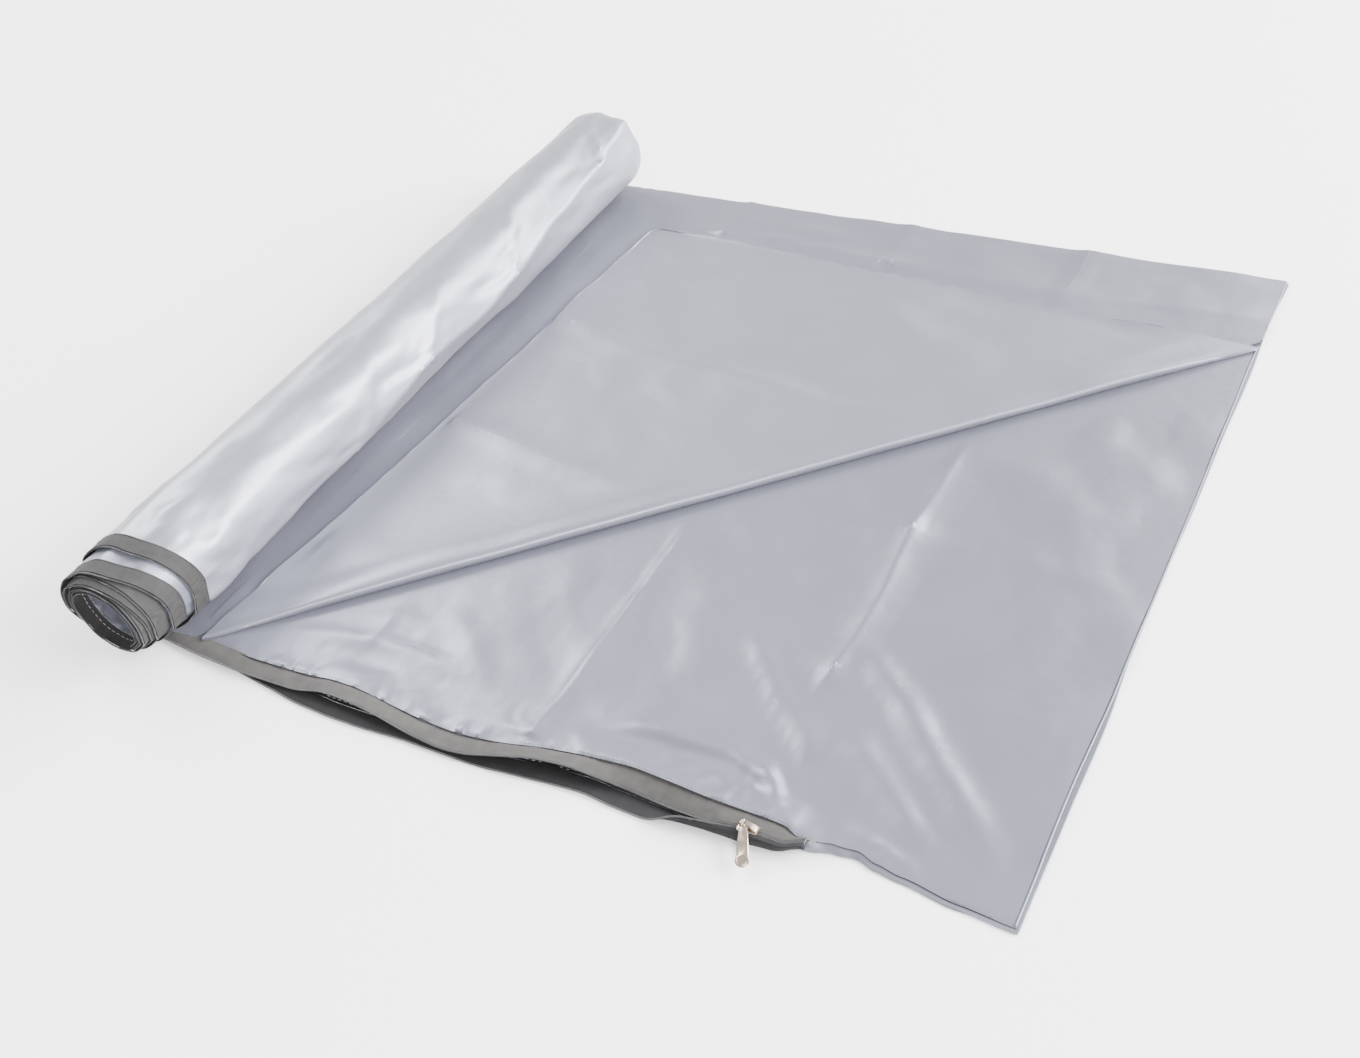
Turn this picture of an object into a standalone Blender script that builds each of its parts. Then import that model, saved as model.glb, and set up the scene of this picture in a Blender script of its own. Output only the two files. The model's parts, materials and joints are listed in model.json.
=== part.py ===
"""Zipped satin cover of an infrared sauna blanket, half rolled up, with one corner folded back.

The cover is a bag of two satin panels, folded in half along its far edge. The outer panel lies on the
floor, bends round the far edge and is on top again; the inner panel runs inside it. The bottom half
carries the zip on the near edge. Units are metres, +X points to the foot end, +Y to the folded edge.
"""
import math

import bmesh
import bpy
from mathutils import Vector

# Driving dimensions
FOLDED_WIDTH = 0.800        # near edge to far fold; the bag is twice this wide opened out
FLAT_LENGTH = 0.773         # foot edge to the line where the roll touches the floor
ROLL_RADIUS = 0.052
ROLL_TURNS = 3.9            # takes up the rest of the 1.80 m long cover
TELESCOPE = 0.045           # how far the roll's inner turns stand out past the near edge
LAYER = 0.00075             # one satin panel with its share of air
GAP = 0.0003                # between touching pieces
STITCH_TO_FOOT = 0.155      # foot edge to the closed end of the zip
SLIDER_TO_FOOT = 0.195
FOLD_START = 0.725          # foot edge to where the corner fold leaves the near edge
FOLD_END = 0.678            # near edge to where the corner fold meets the foot edge
TAPE_WIDTH = 0.0145
COIL_WIDTH = 0.0021
COIL_HEIGHT = 0.0016
ZIP_LEVEL = 0.0085          # height of the zip's plane where it is closed
SEAM_WIDTH = 0.003
STITCH_HALF = 0.0005        # half the width of a raised row of stitching

# Places worked out from them
PITCH = LAYER + GAP
LAYERS_PER_TURN = 4
TURN_PITCH = LAYERS_PER_TURN * PITCH
HALF_STACK = (3 * PITCH + LAYER) / 2         # radius of the outer panel's bend at the far edge
OVERALL_LENGTH = FLAT_LENGTH + ROLL_RADIUS - TURN_PITCH / 4
FOOT_X = OVERALL_LENGTH / 2
ROLL_X = FOOT_X - FLAT_LENGTH
NEAR_Y = (TELESCOPE - FOLDED_WIDTH) / 2
FAR_Y = NEAR_Y + FOLDED_WIDTH
STEPS_PER_TURN = 20
UNDER_FLAP = 4              # the corner flap lies on four layers

# The corner fold: a line A-B, its direction and the way to the far-left side of it
FOLD_A = Vector((FOOT_X - FOLD_START, NEAR_Y, 0))
FOLD_B = Vector((FOOT_X, NEAR_Y + FOLD_END, 0))
FOLD_ALONG = (FOLD_B - FOLD_A).normalized()
FOLD_INWARD = Vector((-FOLD_ALONG.y, FOLD_ALONG.x, 0))
FOLD_RADIUS = 0.0047
FOLD_HEIGHT = 0.0068
FOLD_CLEARANCE = 2 * FOLD_RADIUS + 2 * GAP

SATIN = ("satin_silver", (0.50, 0.50, 0.55), 0.38, 0.0)
TAPE = ("tape_grey", (0.16, 0.15, 0.145), 0.85, 0.0)
COIL = ("coil_dark", (0.05, 0.05, 0.055), 0.45, 0.0)
THREAD = ("thread_grey", (0.34, 0.34, 0.37), 0.7, 0.0)
METAL = ("slider_metal", (0.72, 0.66, 0.58), 0.28, 1.0)


def clear_scene():
    for thing in list(bpy.data.objects):
        bpy.data.objects.remove(thing, do_unlink=True)


def material(spec):
    name, colour, roughness, metallic = spec
    found = bpy.data.materials.get(name)
    if found:
        return found
    made = bpy.data.materials.new(name)
    made.use_nodes = True
    shader = made.node_tree.nodes["Principled BSDF"]
    shader.inputs["Base Color"].default_value = (*colour, 1)
    shader.inputs["Roughness"].default_value = roughness
    shader.inputs["Metallic"].default_value = metallic
    return made


def add_object(name, bm, spec, origin=Vector((0, 0, 0))):
    """Turns a bmesh into a named object whose origin is at the given point."""
    bmesh.ops.recalc_face_normals(bm, faces=bm.faces)
    bmesh.ops.translate(bm, vec=-origin, verts=bm.verts)
    mesh = bpy.data.meshes.new(name)
    bm.to_mesh(mesh)
    bm.free()
    mesh.materials.append(material(spec))
    made = bpy.data.objects.new(name, mesh)
    made.location = origin
    bpy.context.scene.collection.objects.link(made)
    return made


def smooth(share):
    """A soft step from 0 to 1."""
    share = min(1.0, max(0.0, share))
    return share * share * (3 - 2 * share)


def through(keys, place):
    """A soft curve through (place, value) pairs in rising order of place."""
    if place <= keys[0][0]:
        return keys[0][1]
    for (before, low), (after, high) in zip(keys, keys[1:]):
        if place <= after:
            return low + (high - low) * smooth((place - before) / (after - before))
    return keys[-1][1]


def add_slab(bm, low, high):
    """A closed sheet between two grids of points of the same size."""
    rows, columns = len(low), len(low[0])
    below = [[bm.verts.new(p) for p in row] for row in low]
    above = [[bm.verts.new(p) for p in row] for row in high]
    for i in range(rows - 1):
        for j in range(columns - 1):
            bm.faces.new((below[i][j], below[i][j + 1], below[i + 1][j + 1], below[i + 1][j]))
            bm.faces.new((above[i][j], above[i + 1][j], above[i + 1][j + 1], above[i][j + 1]))
    for i in range(rows - 1):
        for j in (0, columns - 1):
            bm.faces.new((below[i][j], below[i + 1][j], above[i + 1][j], above[i][j]))
    for j in range(columns - 1):
        for i in (0, rows - 1):
            bm.faces.new((below[i][j], below[i][j + 1], above[i][j + 1], above[i][j]))


def slab(name, low, high, spec):
    bm = bmesh.new()
    add_slab(bm, low, high)
    return add_object(name, bm, spec)


def add_prism(bm, outline, low, high):
    """A closed solid from a flat outline between two heights."""
    bottom = [bm.verts.new((x, y, low)) for x, y in outline]
    top = [bm.verts.new((x, y, high)) for x, y in outline]
    bm.faces.new(bottom)
    bm.faces.new(top)
    for i in range(len(outline)):
        j = (i + 1) % len(outline)
        bm.faces.new((bottom[i], bottom[j], top[j], top[i]))


def prism(name, outline, low, high, spec, origin=Vector((0, 0, 0))):
    bm = bmesh.new()
    add_prism(bm, outline, low, high)
    return add_object(name, bm, spec, origin)


def swept_bar(name, centre, width_way, up_way, spec):
    """A closed bar along centre whose corners are the centre plus and minus the two half-width vectors."""
    low = [[c - w - u, c + w - u] for c, w, u in zip(centre, width_way, up_way)]
    high = [[c - w + u, c + w + u] for c, w, u in zip(centre, width_way, up_way)]
    return slab(name, low, high, spec)


def level(layer):
    """Height of the underside of a layer in the flat stack, counted from the floor."""
    return layer * PITCH


# ---- The near edge of the bottom half, as distances from the foot edge ----

LIP_REACH = 0.060           # how far in from the near edge the upper panel starts to rise
SEWN_UPPER = 0.0180         # near edge line to the upper tape's sewn edge
CHAIN_HALF = 0.0008         # half the gap between the two coils
SEAM_IN = 0.0015            # plain seam's inset from the near edge line
CLOSED_EDGE = -0.0063       # where the outer panel ends under the closed zip
MOUTH_EDGE = [
    (0.1450, SEAM_IN), (0.1530, CLOSED_EDGE), (0.2080, CLOSED_EDGE), (0.2500, 0.0005), (0.3100, -0.0040),
    (0.4100, -0.0125), (0.5600, -0.0115), (0.6600, 0.0035), (0.7450, 0.0110),
]
TAPE_BOTTOM = ZIP_LEVEL - LAYER / 2
LIP_RISE = [(0.040, level(1)), (0.150, TAPE_BOTTOM), (0.600, TAPE_BOTTOM), (0.695, level(1))]
TAPE_DIP = [(0.620, 0.0), (0.740, -0.0065)]
COIL_FLATTENS = [(0.560, COIL_HEIGHT), (0.660, LAYER)]
TURN_START = 0.2080         # where the lower tape, standing under the closed zip, starts to lie down
TURN_END = 0.2500
STATIONS = [
    0.0, 0.04, 0.08, 0.12, 0.145, 0.153, STITCH_TO_FOOT, 0.18, 0.208, 0.214, 0.22, 0.226, 0.232, 0.238,
    0.244, 0.25, 0.28, 0.31, 0.36, 0.41, 0.46, 0.51, 0.56, 0.60, 0.63, 0.66, 0.695, 0.72, 0.745,
]


def flat_stations(first, last):
    """Distances from the foot edge between two ends, with both ends."""
    return [first] + [d for d in STATIONS if first < d < last] + [last]


def point(distance, across, height):
    """A point by its distance from the foot edge, its distance in from the near edge line, and height."""
    return Vector((FOOT_X - distance, NEAR_Y + across, height))


def lower_edge(distance):
    return through(MOUTH_EDGE, distance)


def upper_edge(distance):
    """The upper panel's near edge: behind the tape along the zip, at the plain seam beyond it."""
    beyond = smooth((STITCH_TO_FOOT - distance) / 0.010)
    return SEWN_UPPER + (SEAM_IN - SEWN_UPPER) * beyond + through(TAPE_DIP, distance)


def build_floor_half():
    """The bottom half's two panels, flat, with the upper one rising to the zip."""
    far = FOLDED_WIDTH - HALF_STACK
    stops = flat_stations(SEAM_WIDTH + GAP, FLAT_LENGTH - GAP)
    low = [[point(d, lower_edge(d) + GAP, 0), point(d, far - GAP, 0)] for d in stops]
    high = [[p + Vector((0, 0, LAYER)) for p in row] for row in low]
    slab("outer_panel_floor", low, high, SATIN)
    low = []
    for d in stops:
        edge = upper_edge(d)
        rise = through(LIP_RISE, d)
        base = min(LIP_REACH, max(edge + 0.006, (FOLD_START - d) * 0.9))
        low.append([
            point(d, edge + GAP, rise), point(d, base, level(1)), point(d, far - GAP, level(1)),
        ])
    high = [[p + Vector((0, 0, LAYER)) for p in row] for row in low]
    slab("inner_panel_floor", low, high, SATIN)

def build_top_half():
    """The top half's two panels, without their folded corner."""
    far_foot, far_roll = Vector((FOOT_X, FAR_Y, 0)), Vector((ROLL_X, FAR_Y, 0))
    corners = [Vector((ROLL_X, NEAR_Y, 0)), FOLD_A, FOLD_B, far_foot, far_roll]
    outline = inset_outline(corners, [0, FOLD_CLEARANCE, SEAM_WIDTH + GAP, HALF_STACK + GAP, GAP])
    prism("inner_panel_top", outline, level(2), level(2) + LAYER, SATIN)
    prism("outer_panel_top", outline, level(3), level(3) + LAYER, SATIN)


def build_far_fold(name, lowest, highest):
    """The bend of one panel round the far edge, joining two of the layers."""
    outer = (level(highest) + LAYER - level(lowest)) / 2
    inner = max(outer - LAYER, GAP / 4)
    centre_z = level(lowest) + outer
    centre_y = FAR_Y - HALF_STACK
    steps = 6
    ends = (FOOT_X - SEAM_WIDTH - GAP, ROLL_X + GAP)

    def arc(radius, x):
        angles = [math.pi * (i / steps - 0.5) for i in range(steps + 1)]
        return [Vector((x, centre_y + radius * math.cos(a), centre_z + radius * math.sin(a))) for a in angles]

    slab(name, [arc(outer, x) for x in ends], [arc(inner, x) for x in ends], SATIN)


def build_flat_seams():
    far = FAR_Y - GAP
    foot = FOOT_X
    inner = FOOT_X - SEAM_WIDTH
    fold_top = FOLD_B.y + FOLD_CLEARANCE / FOLD_ALONG.x + GAP
    floor_outline = [(inner, NEAR_Y + SEAM_IN + GAP), (foot, NEAR_Y + SEAM_IN + GAP), (foot, far), (inner, far)]
    prism("foot_seam_floor", floor_outline, level(0), level(1) + LAYER, SATIN)
    top_outline = [(inner, fold_top), (foot, fold_top), (foot, far), (inner, far)]
    prism("foot_seam_top", top_outline, level(2), level(3) + LAYER, SATIN)
    stops = flat_stations(0.0, MOUTH_EDGE[0][0] - GAP)
    low = [[point(d, -SEAM_IN, 0), point(d, SEAM_IN - GAP, 0)] for d in stops]
    high = [[p + Vector((0, 0, through(LIP_RISE, d) + LAYER)) for p in row] for d, row in zip(stops, low)]
    slab("near_seam", low, high, SATIN)


# ---- The zip along the flat part ----

LEVEL_PART = 0.0039         # the width of the lower tape that is level beside its coil when closed
CLOSED_WALL = CLOSED_EDGE - LAYER - GAP / 6
CLOSED_TOP = TAPE_BOTTOM + LAYER


def lower_tape_line(distance):
    """Sewn edge, knee and coil edge of the lower tape's outer face, and the way the inner face looks there.

    Closed, the tape stands on the floor and bends over to its coil. Open, it lies flat, coil outwards.
    """
    opened = smooth((distance - TURN_START) / (TURN_END - TURN_START))
    stand = math.pi / 2 * (1 + opened ** 0.65)
    bend = math.pi / 2 * (1 - smooth((opened - 0.55) / 0.45))
    sunk = 1 - 0.12 * math.sin(math.pi * min(1.0, 3 * opened))
    height = (CLOSED_TOP + (TAPE_WIDTH - GAP - LEVEL_PART - CLOSED_TOP) * opened) * sunk

    def way(angle):
        return Vector((0, math.cos(angle), math.sin(angle)))

    sewn = point(distance, CLOSED_WALL + (lower_edge(distance) - GAP - CLOSED_WALL) * opened, 0)
    knee = sewn + way(stand) * height
    edge = knee + way(stand - bend) * LEVEL_PART
    quarter = math.pi / 2
    mitre = way(stand - bend / 2 - quarter) / math.cos(bend / 2)
    return (sewn, knee, edge), (way(stand - quarter), mitre, way(stand - bend - quarter))


def build_lower_zip(ending, first, last):
    """The lower tape and its coil between two distances from the foot edge."""
    low, high, coil_centre, coil_width, coil_up = [], [], [], [], []
    for d in flat_stations(first, last):
        line, faces = lower_tape_line(d)
        low.append(line)
        high.append([p + face * LAYER for p, face in zip(line, faces)])
        edge, face = line[2], faces[2]
        along = (edge - line[1]).normalized()
        tall = through(COIL_FLATTENS, d)
        coil_centre.append(edge + along * (GAP + COIL_WIDTH / 2) + face * tall / 2)
        coil_width.append(along * COIL_WIDTH / 2)
        coil_up.append(face * tall / 2)
    slab(f"zip_tape_lower{ending}", low, high, TAPE)
    swept_bar(f"zip_coil_lower{ending}", coil_centre, coil_width, coil_up, COIL)


def build_upper_zip(ending, first, last):
    """The upper tape and its coil between two distances from the foot edge."""
    stops = flat_stations(first, last)
    low, coil_centre, coil_up = [], [], []
    for d in stops:
        bottom = through(LIP_RISE[2:], d)
        dip = through(TAPE_DIP, d)
        tall = through(COIL_FLATTENS, d)
        low.append([point(d, SEWN_UPPER + dip, bottom), point(d, CHAIN_HALF + COIL_WIDTH + GAP + dip, bottom)])
        coil_centre.append(point(d, CHAIN_HALF + COIL_WIDTH / 2 + dip, bottom + tall / 2))
        coil_up.append(Vector((0, 0, tall / 2)))
    high = [[p + Vector((0, 0, LAYER)) for p in row] for row in low]
    slab(f"zip_tape_upper{ending}", low, high, TAPE)
    across = [Vector((0, COIL_WIDTH / 2, 0))] * len(stops)
    swept_bar(f"zip_coil_upper{ending}", coil_centre, across, coil_up, COIL)


def build_stitching(name, first, last, line):
    """A raised row of thread along a line given by distance from the foot edge."""
    rows = [line(d) for d in flat_stations(first, last)]
    wide = [Vector((0, STITCH_HALF, 0))] * len(rows)
    tall = [Vector((0, 0, STITCH_HALF / 2))] * len(rows)
    swept_bar(name, rows, wide, tall, THREAD)


def build_flat_zip():
    """The two tapes, the two coils and their stitching on the flat part.

    The lower tape is in two pieces: where it stands and turns over by the slider, and where it lies open.
    The upper one is level along the mouth and slopes down to the roll beyond it.
    """
    slope = LIP_RISE[2][0]
    build_lower_zip("_turn", STITCH_TO_FOOT, TURN_END)
    build_lower_zip("", TURN_END + GAP, FLAT_LENGTH - GAP)
    build_upper_zip("", STITCH_TO_FOOT, slope)
    build_upper_zip("_slope", slope + GAP, FLAT_LENGTH - GAP)
    above = LAYER + GAP + STITCH_HALF / 2
    build_stitching("tape_stitching_upper", STITCH_TO_FOOT, 0.690, lambda d: point(
        d, SEWN_UPPER + through(TAPE_DIP, d) - 0.0015, through(LIP_RISE[2:], d) + above))
    build_stitching("tape_stitching_lower", TURN_END + GAP, slope, lambda d: point(
        d, lower_edge(d) - 0.0018, above))


def inset_outline(corners, insets):
    """A convex outline, counter-clockwise, with each side moved in by its own distance."""
    count = len(corners)
    sides = []
    for i in range(count):
        start, way = corners[i], (corners[(i + 1) % count] - corners[i]).normalized()
        sides.append((start + Vector((-way.y, way.x, 0)) * insets[i], way))
    found = []
    for i in range(count):
        (p, u), (q, v) = sides[i - 1], sides[i]
        run = ((q.x - p.x) * v.y - (q.y - p.y) * v.x) / (u.x * v.y - u.y * v.x)
        found.append((p.x + u.x * run, p.y + u.y * run))
    return found


def box_outline(distance, across, length, width):
    x, y = FOOT_X - distance, NEAR_Y + across
    return [(x - length / 2, y - width / 2), (x + length / 2, y - width / 2),
            (x + length / 2, y + width / 2), (x - length / 2, y + width / 2)]


def build_zip_ends():
    """The moulded stop at the closed end, and the thread bar tack sewn over it."""
    stop_length = 0.0016
    prism("zip_bottom_stop", box_outline(STITCH_TO_FOOT - GAP - stop_length / 2, 0, stop_length, 0.0056),
          ZIP_LEVEL - COIL_HEIGHT / 2, ZIP_LEVEL + COIL_HEIGHT / 2, METAL)
    tack_level = ZIP_LEVEL + LAYER / 2 + GAP + 0.0002
    prism("bar_tack", box_outline(0.1490, 0.0070, 0.0018, 0.0080), tack_level, tack_level + 0.0007, THREAD)


# ---- The roll: layers wound inwards from the floor line ----

def turned(radius, turns, y):
    """A point of the spiral: it starts at the floor and climbs the side away from the foot end."""
    angle = -math.pi / 2 - 2 * math.pi * turns
    return Vector((ROLL_X + radius * math.cos(angle), y, ROLL_RADIUS + radius * math.sin(angle)))


def wind(name, layer, near, far, thickness, spec, depth=0.0, turns=ROLL_TURNS):
    """A strip wound into the roll; near and far give its edges as functions of the turns made."""
    low, high = [], []
    for i in range(round(turns * STEPS_PER_TURN) + 1):
        t = i / STEPS_PER_TURN
        outside = ROLL_RADIUS - TURN_PITCH * t - PITCH * layer - depth
        low.append([turned(outside, t, NEAR_Y + near(t)), turned(outside, t, NEAR_Y + far(t))])
        inside = outside - thickness
        high.append([turned(inside, t, NEAR_Y + near(t)), turned(inside, t, NEAR_Y + far(t))])
    return slab(name, low, high, spec)


ZIP_BAND = COIL_WIDTH + GAP + TAPE_WIDTH
ROLL_EDGE_START = CHAIN_HALF + TAPE_DIP[-1][1]
LOWER_EDGE_START = MOUTH_EDGE[-1][1] - GAP - TAPE_WIDTH - COIL_WIDTH


def lower_band_edge(t):
    """Outermost edge of the lower tape's coil in the roll: one even turn, then it works outwards."""
    return LOWER_EDGE_START - (TELESCOPE + LOWER_EDGE_START) * smooth((t - 0.75) / 0.9)


def upper_band_edge(t):
    """Outermost edge of the upper tape's coil in the roll: it works outwards from the start."""
    first = ROLL_EDGE_START - 0.022 * smooth(t / 0.35)
    return first - (TELESCOPE - 0.002 + ROLL_EDGE_START - 0.022) * smooth((t - 0.8) / 1.0)


def far_end(t):
    return FOLDED_WIDTH - HALF_STACK - GAP - 0.010 * smooth(t / 0.3)


def build_roll():
    wind("outer_panel_floor_roll", 0, lambda t: lower_band_edge(t) + ZIP_BAND + GAP, far_end, LAYER, SATIN)
    wind("inner_panel_floor_roll", 1, lambda t: upper_band_edge(t) + ZIP_BAND + GAP, far_end, LAYER, SATIN)
    wind("inner_panel_top_roll", 2, lambda t: -0.012 * smooth(t), far_end, LAYER, SATIN)
    wind("outer_panel_top_roll", 3, lambda t: -0.012 * smooth(t), far_end, LAYER, SATIN)
    wind("far_fold_roll", 0, lambda t: far_end(t) + GAP, lambda t: far_end(t) + GAP + LAYER * 2,
         level(3) + LAYER, SATIN)
    for name, layer, edge in (("lower", 0, lower_band_edge), ("upper", 1, upper_band_edge)):
        wind(f"zip_tape_{name}_roll", layer, lambda t: edge(t) + COIL_WIDTH + GAP,
             lambda t: edge(t) + ZIP_BAND, LAYER, TAPE)
        wind(f"zip_coil_{name}_roll", layer, edge, lambda t: edge(t) + COIL_WIDTH, LAYER, COIL)
    end = ROLL_TURNS
    seam_turns = 0.02
    chord = 0.0010              # keeps the end pieces inside the straight sides of the turn outside them
    for name, layer in (("floor", 0), ("top", 2)):
        near = lower_band_edge(end) + ZIP_BAND + 0.004
        outside = ROLL_RADIUS - TURN_PITCH * end - PITCH * layer - chord
        inside = outside - PITCH - LAYER + GAP * 2
        angles = (end + GAP / outside / 2, end + GAP / outside / 2 + seam_turns)
        low = [[turned(outside, a, NEAR_Y + near), turned(outside, a, NEAR_Y + far_end(a))] for a in angles]
        high = [[turned(inside, a, NEAR_Y + near), turned(inside, a, NEAR_Y + far_end(a))] for a in angles]
        slab(f"head_seam_{name}", low, high, SATIN)
    for name, layer, edge in (("lower", 0, lower_band_edge), ("upper", 1, upper_band_edge)):
        outside = ROLL_RADIUS - TURN_PITCH * end - PITCH * layer - chord
        near = NEAR_Y + edge(end)
        angles = (end + GAP / outside / 2, end + GAP / outside / 2 + 0.012)
        low = [[turned(outside, a, near), turned(outside, a, near + COIL_WIDTH)] for a in angles]
        high = [[turned(outside - LAYER, a, near), turned(outside - LAYER, a, near + COIL_WIDTH)]
                for a in angles]
        slab(f"zip_top_stop_{name}", low, high, METAL)


# ---- The folded corner ----

def build_corner_flap():
    """The top half's near corner, turned over the fold line to lie on the top half."""
    corner = Vector((FOOT_X, NEAR_Y, 0))
    tip = corner + FOLD_INWARD * 2 * (FOLD_A - corner).dot(FOLD_INWARD)
    corners = [FOLD_A, FOLD_B, tip]
    clear, seam = FOLD_CLEARANCE, SEAM_WIDTH + GAP
    origin = FOLD_A + FOLD_INWARD * FOLD_RADIUS + Vector((0, 0, FOLD_HEIGHT))
    lowest, highest = level(UNDER_FLAP), level(UNDER_FLAP + 1)
    outline = inset_outline(corners, [clear, seam, seam])
    for name, low in (("flap_outer_panel", lowest), ("flap_inner_panel", highest)):
        prism(name, outline, low, low + LAYER, SATIN, origin)
    outer = inset_outline(corners, [clear, 0, seam])
    inner = inset_outline(corners, [clear, SEAM_WIDTH, seam])
    foot_strip = [outer[1], outer[2], inner[2], inner[1]]
    prism("flap_foot_seam", foot_strip, lowest, highest + LAYER, SATIN, origin)
    outer = inset_outline(corners, [clear, 0, 0])
    inner = inset_outline(corners, [clear, 0, SEAM_WIDTH])
    long_strip = [outer[2], outer[0], inner[0], inner[2]]
    prism("flap_long_seam", long_strip, lowest, highest + LAYER, SATIN, origin)


def build_flap_fold():
    """The fat rounded fold along the flap's hinge line: a round bead about the hinge axis."""
    sides = 12
    start = FOLD_A + FOLD_INWARD * FOLD_RADIUS + Vector((0, 0, FOLD_HEIGHT))
    length = (FOLD_B - FOLD_A).length
    bm = bmesh.new()
    rings = []
    for run in (0.002, length - 0.004):
        ring = []
        for i in range(sides):
            angle = 2 * math.pi * i / sides
            side = FOLD_INWARD * math.cos(angle) + Vector((0, 0, math.sin(angle)))
            ring.append(bm.verts.new(start + FOLD_ALONG * run + side * FOLD_RADIUS))
        rings.append(ring)
        bm.faces.new(ring)
    for i in range(sides):
        j = (i + 1) % sides
        bm.faces.new((rings[0][i], rings[0][j], rings[1][j], rings[1][i]))
    add_object("flap_fold", bm, SATIN, start)


# ---- The slider and its pull tab ----

SLIDER_LENGTH = 0.0160
SLIDER_PLATE = 0.0012
CHANNEL_BELOW = 0.0017      # zip level to the lower plate
CHANNEL_ABOVE = 0.0013      # zip level to the upper plate
SLIDER_HALF_WIDTHS = [
    (0.0, 0.0034), (0.10, 0.0048), (0.22, 0.0055), (0.45, 0.0050), (0.75, 0.0042), (1.0, 0.0039),
]
CROWN_WIDTH = 0.0020
CROWN_THICKNESS = 0.0012
HINGE_HEIGHT = 0.0150
HINGE_OFFSET = -0.0036      # hinge from the slider's middle, towards the open end
EYE_INNER = 0.0016
EYE_OUTER = 0.0027
EYE_LENGTH = 0.0020
TAB_LENGTH = 0.0330
TAB_THICKNESS = 0.0014
TAB_SLOPE = math.radians(16.5)    # hanging down to the floor in front of the zip
TAB_SKEW = math.radians(22)     # swung towards the foot end
TAB_HALF_WIDTHS = [(0.0026, 0.0024), (0.0080, 0.0034), (0.0240, 0.0046)]
TAB_END_RADIUS = 0.0052
DIMPLE_RADIUS = 0.0038
DIMPLE_DEPTH = 0.0004


def slider_point(along, across, height):
    return Vector((FOOT_X - SLIDER_TO_FOOT + along, NEAR_Y + across, height))


def slider_outline():
    half = SLIDER_LENGTH / 2
    side = [(-half + SLIDER_LENGTH * share, width) for share, width in SLIDER_HALF_WIDTHS]
    places = [(x, -w) for x, w in side] + [(x, w) for x, w in reversed(side)]
    middle = slider_point(0, 0, 0)
    return [(middle.x + x, middle.y + y) for x, y in places]


def join(target, other, operation):
    """Combines other into target with a Boolean that stays on it, and keeps other out of the model."""
    cut = target.modifiers.new(f"{operation.lower()}_{other.name}", "BOOLEAN")
    cut.operation = operation
    cut.solver = "EXACT"
    cut.object = other
    other.hide_render = True
    other.display_type = "WIRE"


def build_slider():
    """Two plates joined by the divider at the open end; the coils run between them."""
    outline = slider_outline()
    middle = slider_point(0, 0, ZIP_LEVEL)
    floor_low = ZIP_LEVEL - CHANNEL_BELOW - SLIDER_PLATE
    roof_low = ZIP_LEVEL + CHANNEL_ABOVE
    body = prism("slider_body", outline, floor_low, floor_low + SLIDER_PLATE, METAL, middle)
    roof = prism("slider_roof_plate", outline, roof_low, roof_low + SLIDER_PLATE, METAL, middle)
    half = CHAIN_HALF - GAP
    start = slider_point(-SLIDER_LENGTH / 2 + 0.0008, 0, 0)
    wedge = [(start.x, start.y - half), (start.x + 0.0045, start.y - half * 0.6),
             (start.x + 0.0045, start.y + half * 0.6), (start.x, start.y + half)]
    divider_low, divider_high = floor_low + SLIDER_PLATE / 2, roof_low + SLIDER_PLATE / 2
    divider = prism("slider_divider", wedge, divider_low, divider_high, METAL, middle)
    join(body, divider, "UNION")
    join(body, roof, "UNION")
    roof_top = roof_low + SLIDER_PLATE
    path = [(-0.0066, roof_top + GAP), (-0.0066, 0.0134), (-0.0058, HINGE_HEIGHT), (0.0020, HINGE_HEIGHT),
            (0.0048, 0.0128), (0.0058, roof_top + GAP)]
    leans = [(1, 0), (0.95, 0.2), (0.38, 0.9), (-0.3, 0.95), (-0.75, 0.65), (-1, 0)]
    low, high = [], []
    for (along, height), (lean_x, lean_z) in zip(path, leans):
        centre = slider_point(along, 0, height)
        thick = Vector((-lean_x, 0, lean_z)) * CROWN_THICKNESS / 2
        side = Vector((0, CROWN_WIDTH / 2, 0))
        if height < HINGE_HEIGHT - 0.003:
            thick = Vector((-lean_x, 0, 0)) * CROWN_THICKNESS / 2
        low.append([centre - thick - side, centre - thick + side])
        high.append([centre + thick - side, centre + thick + side])
    slab("slider_crown", low, high, METAL)


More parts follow.
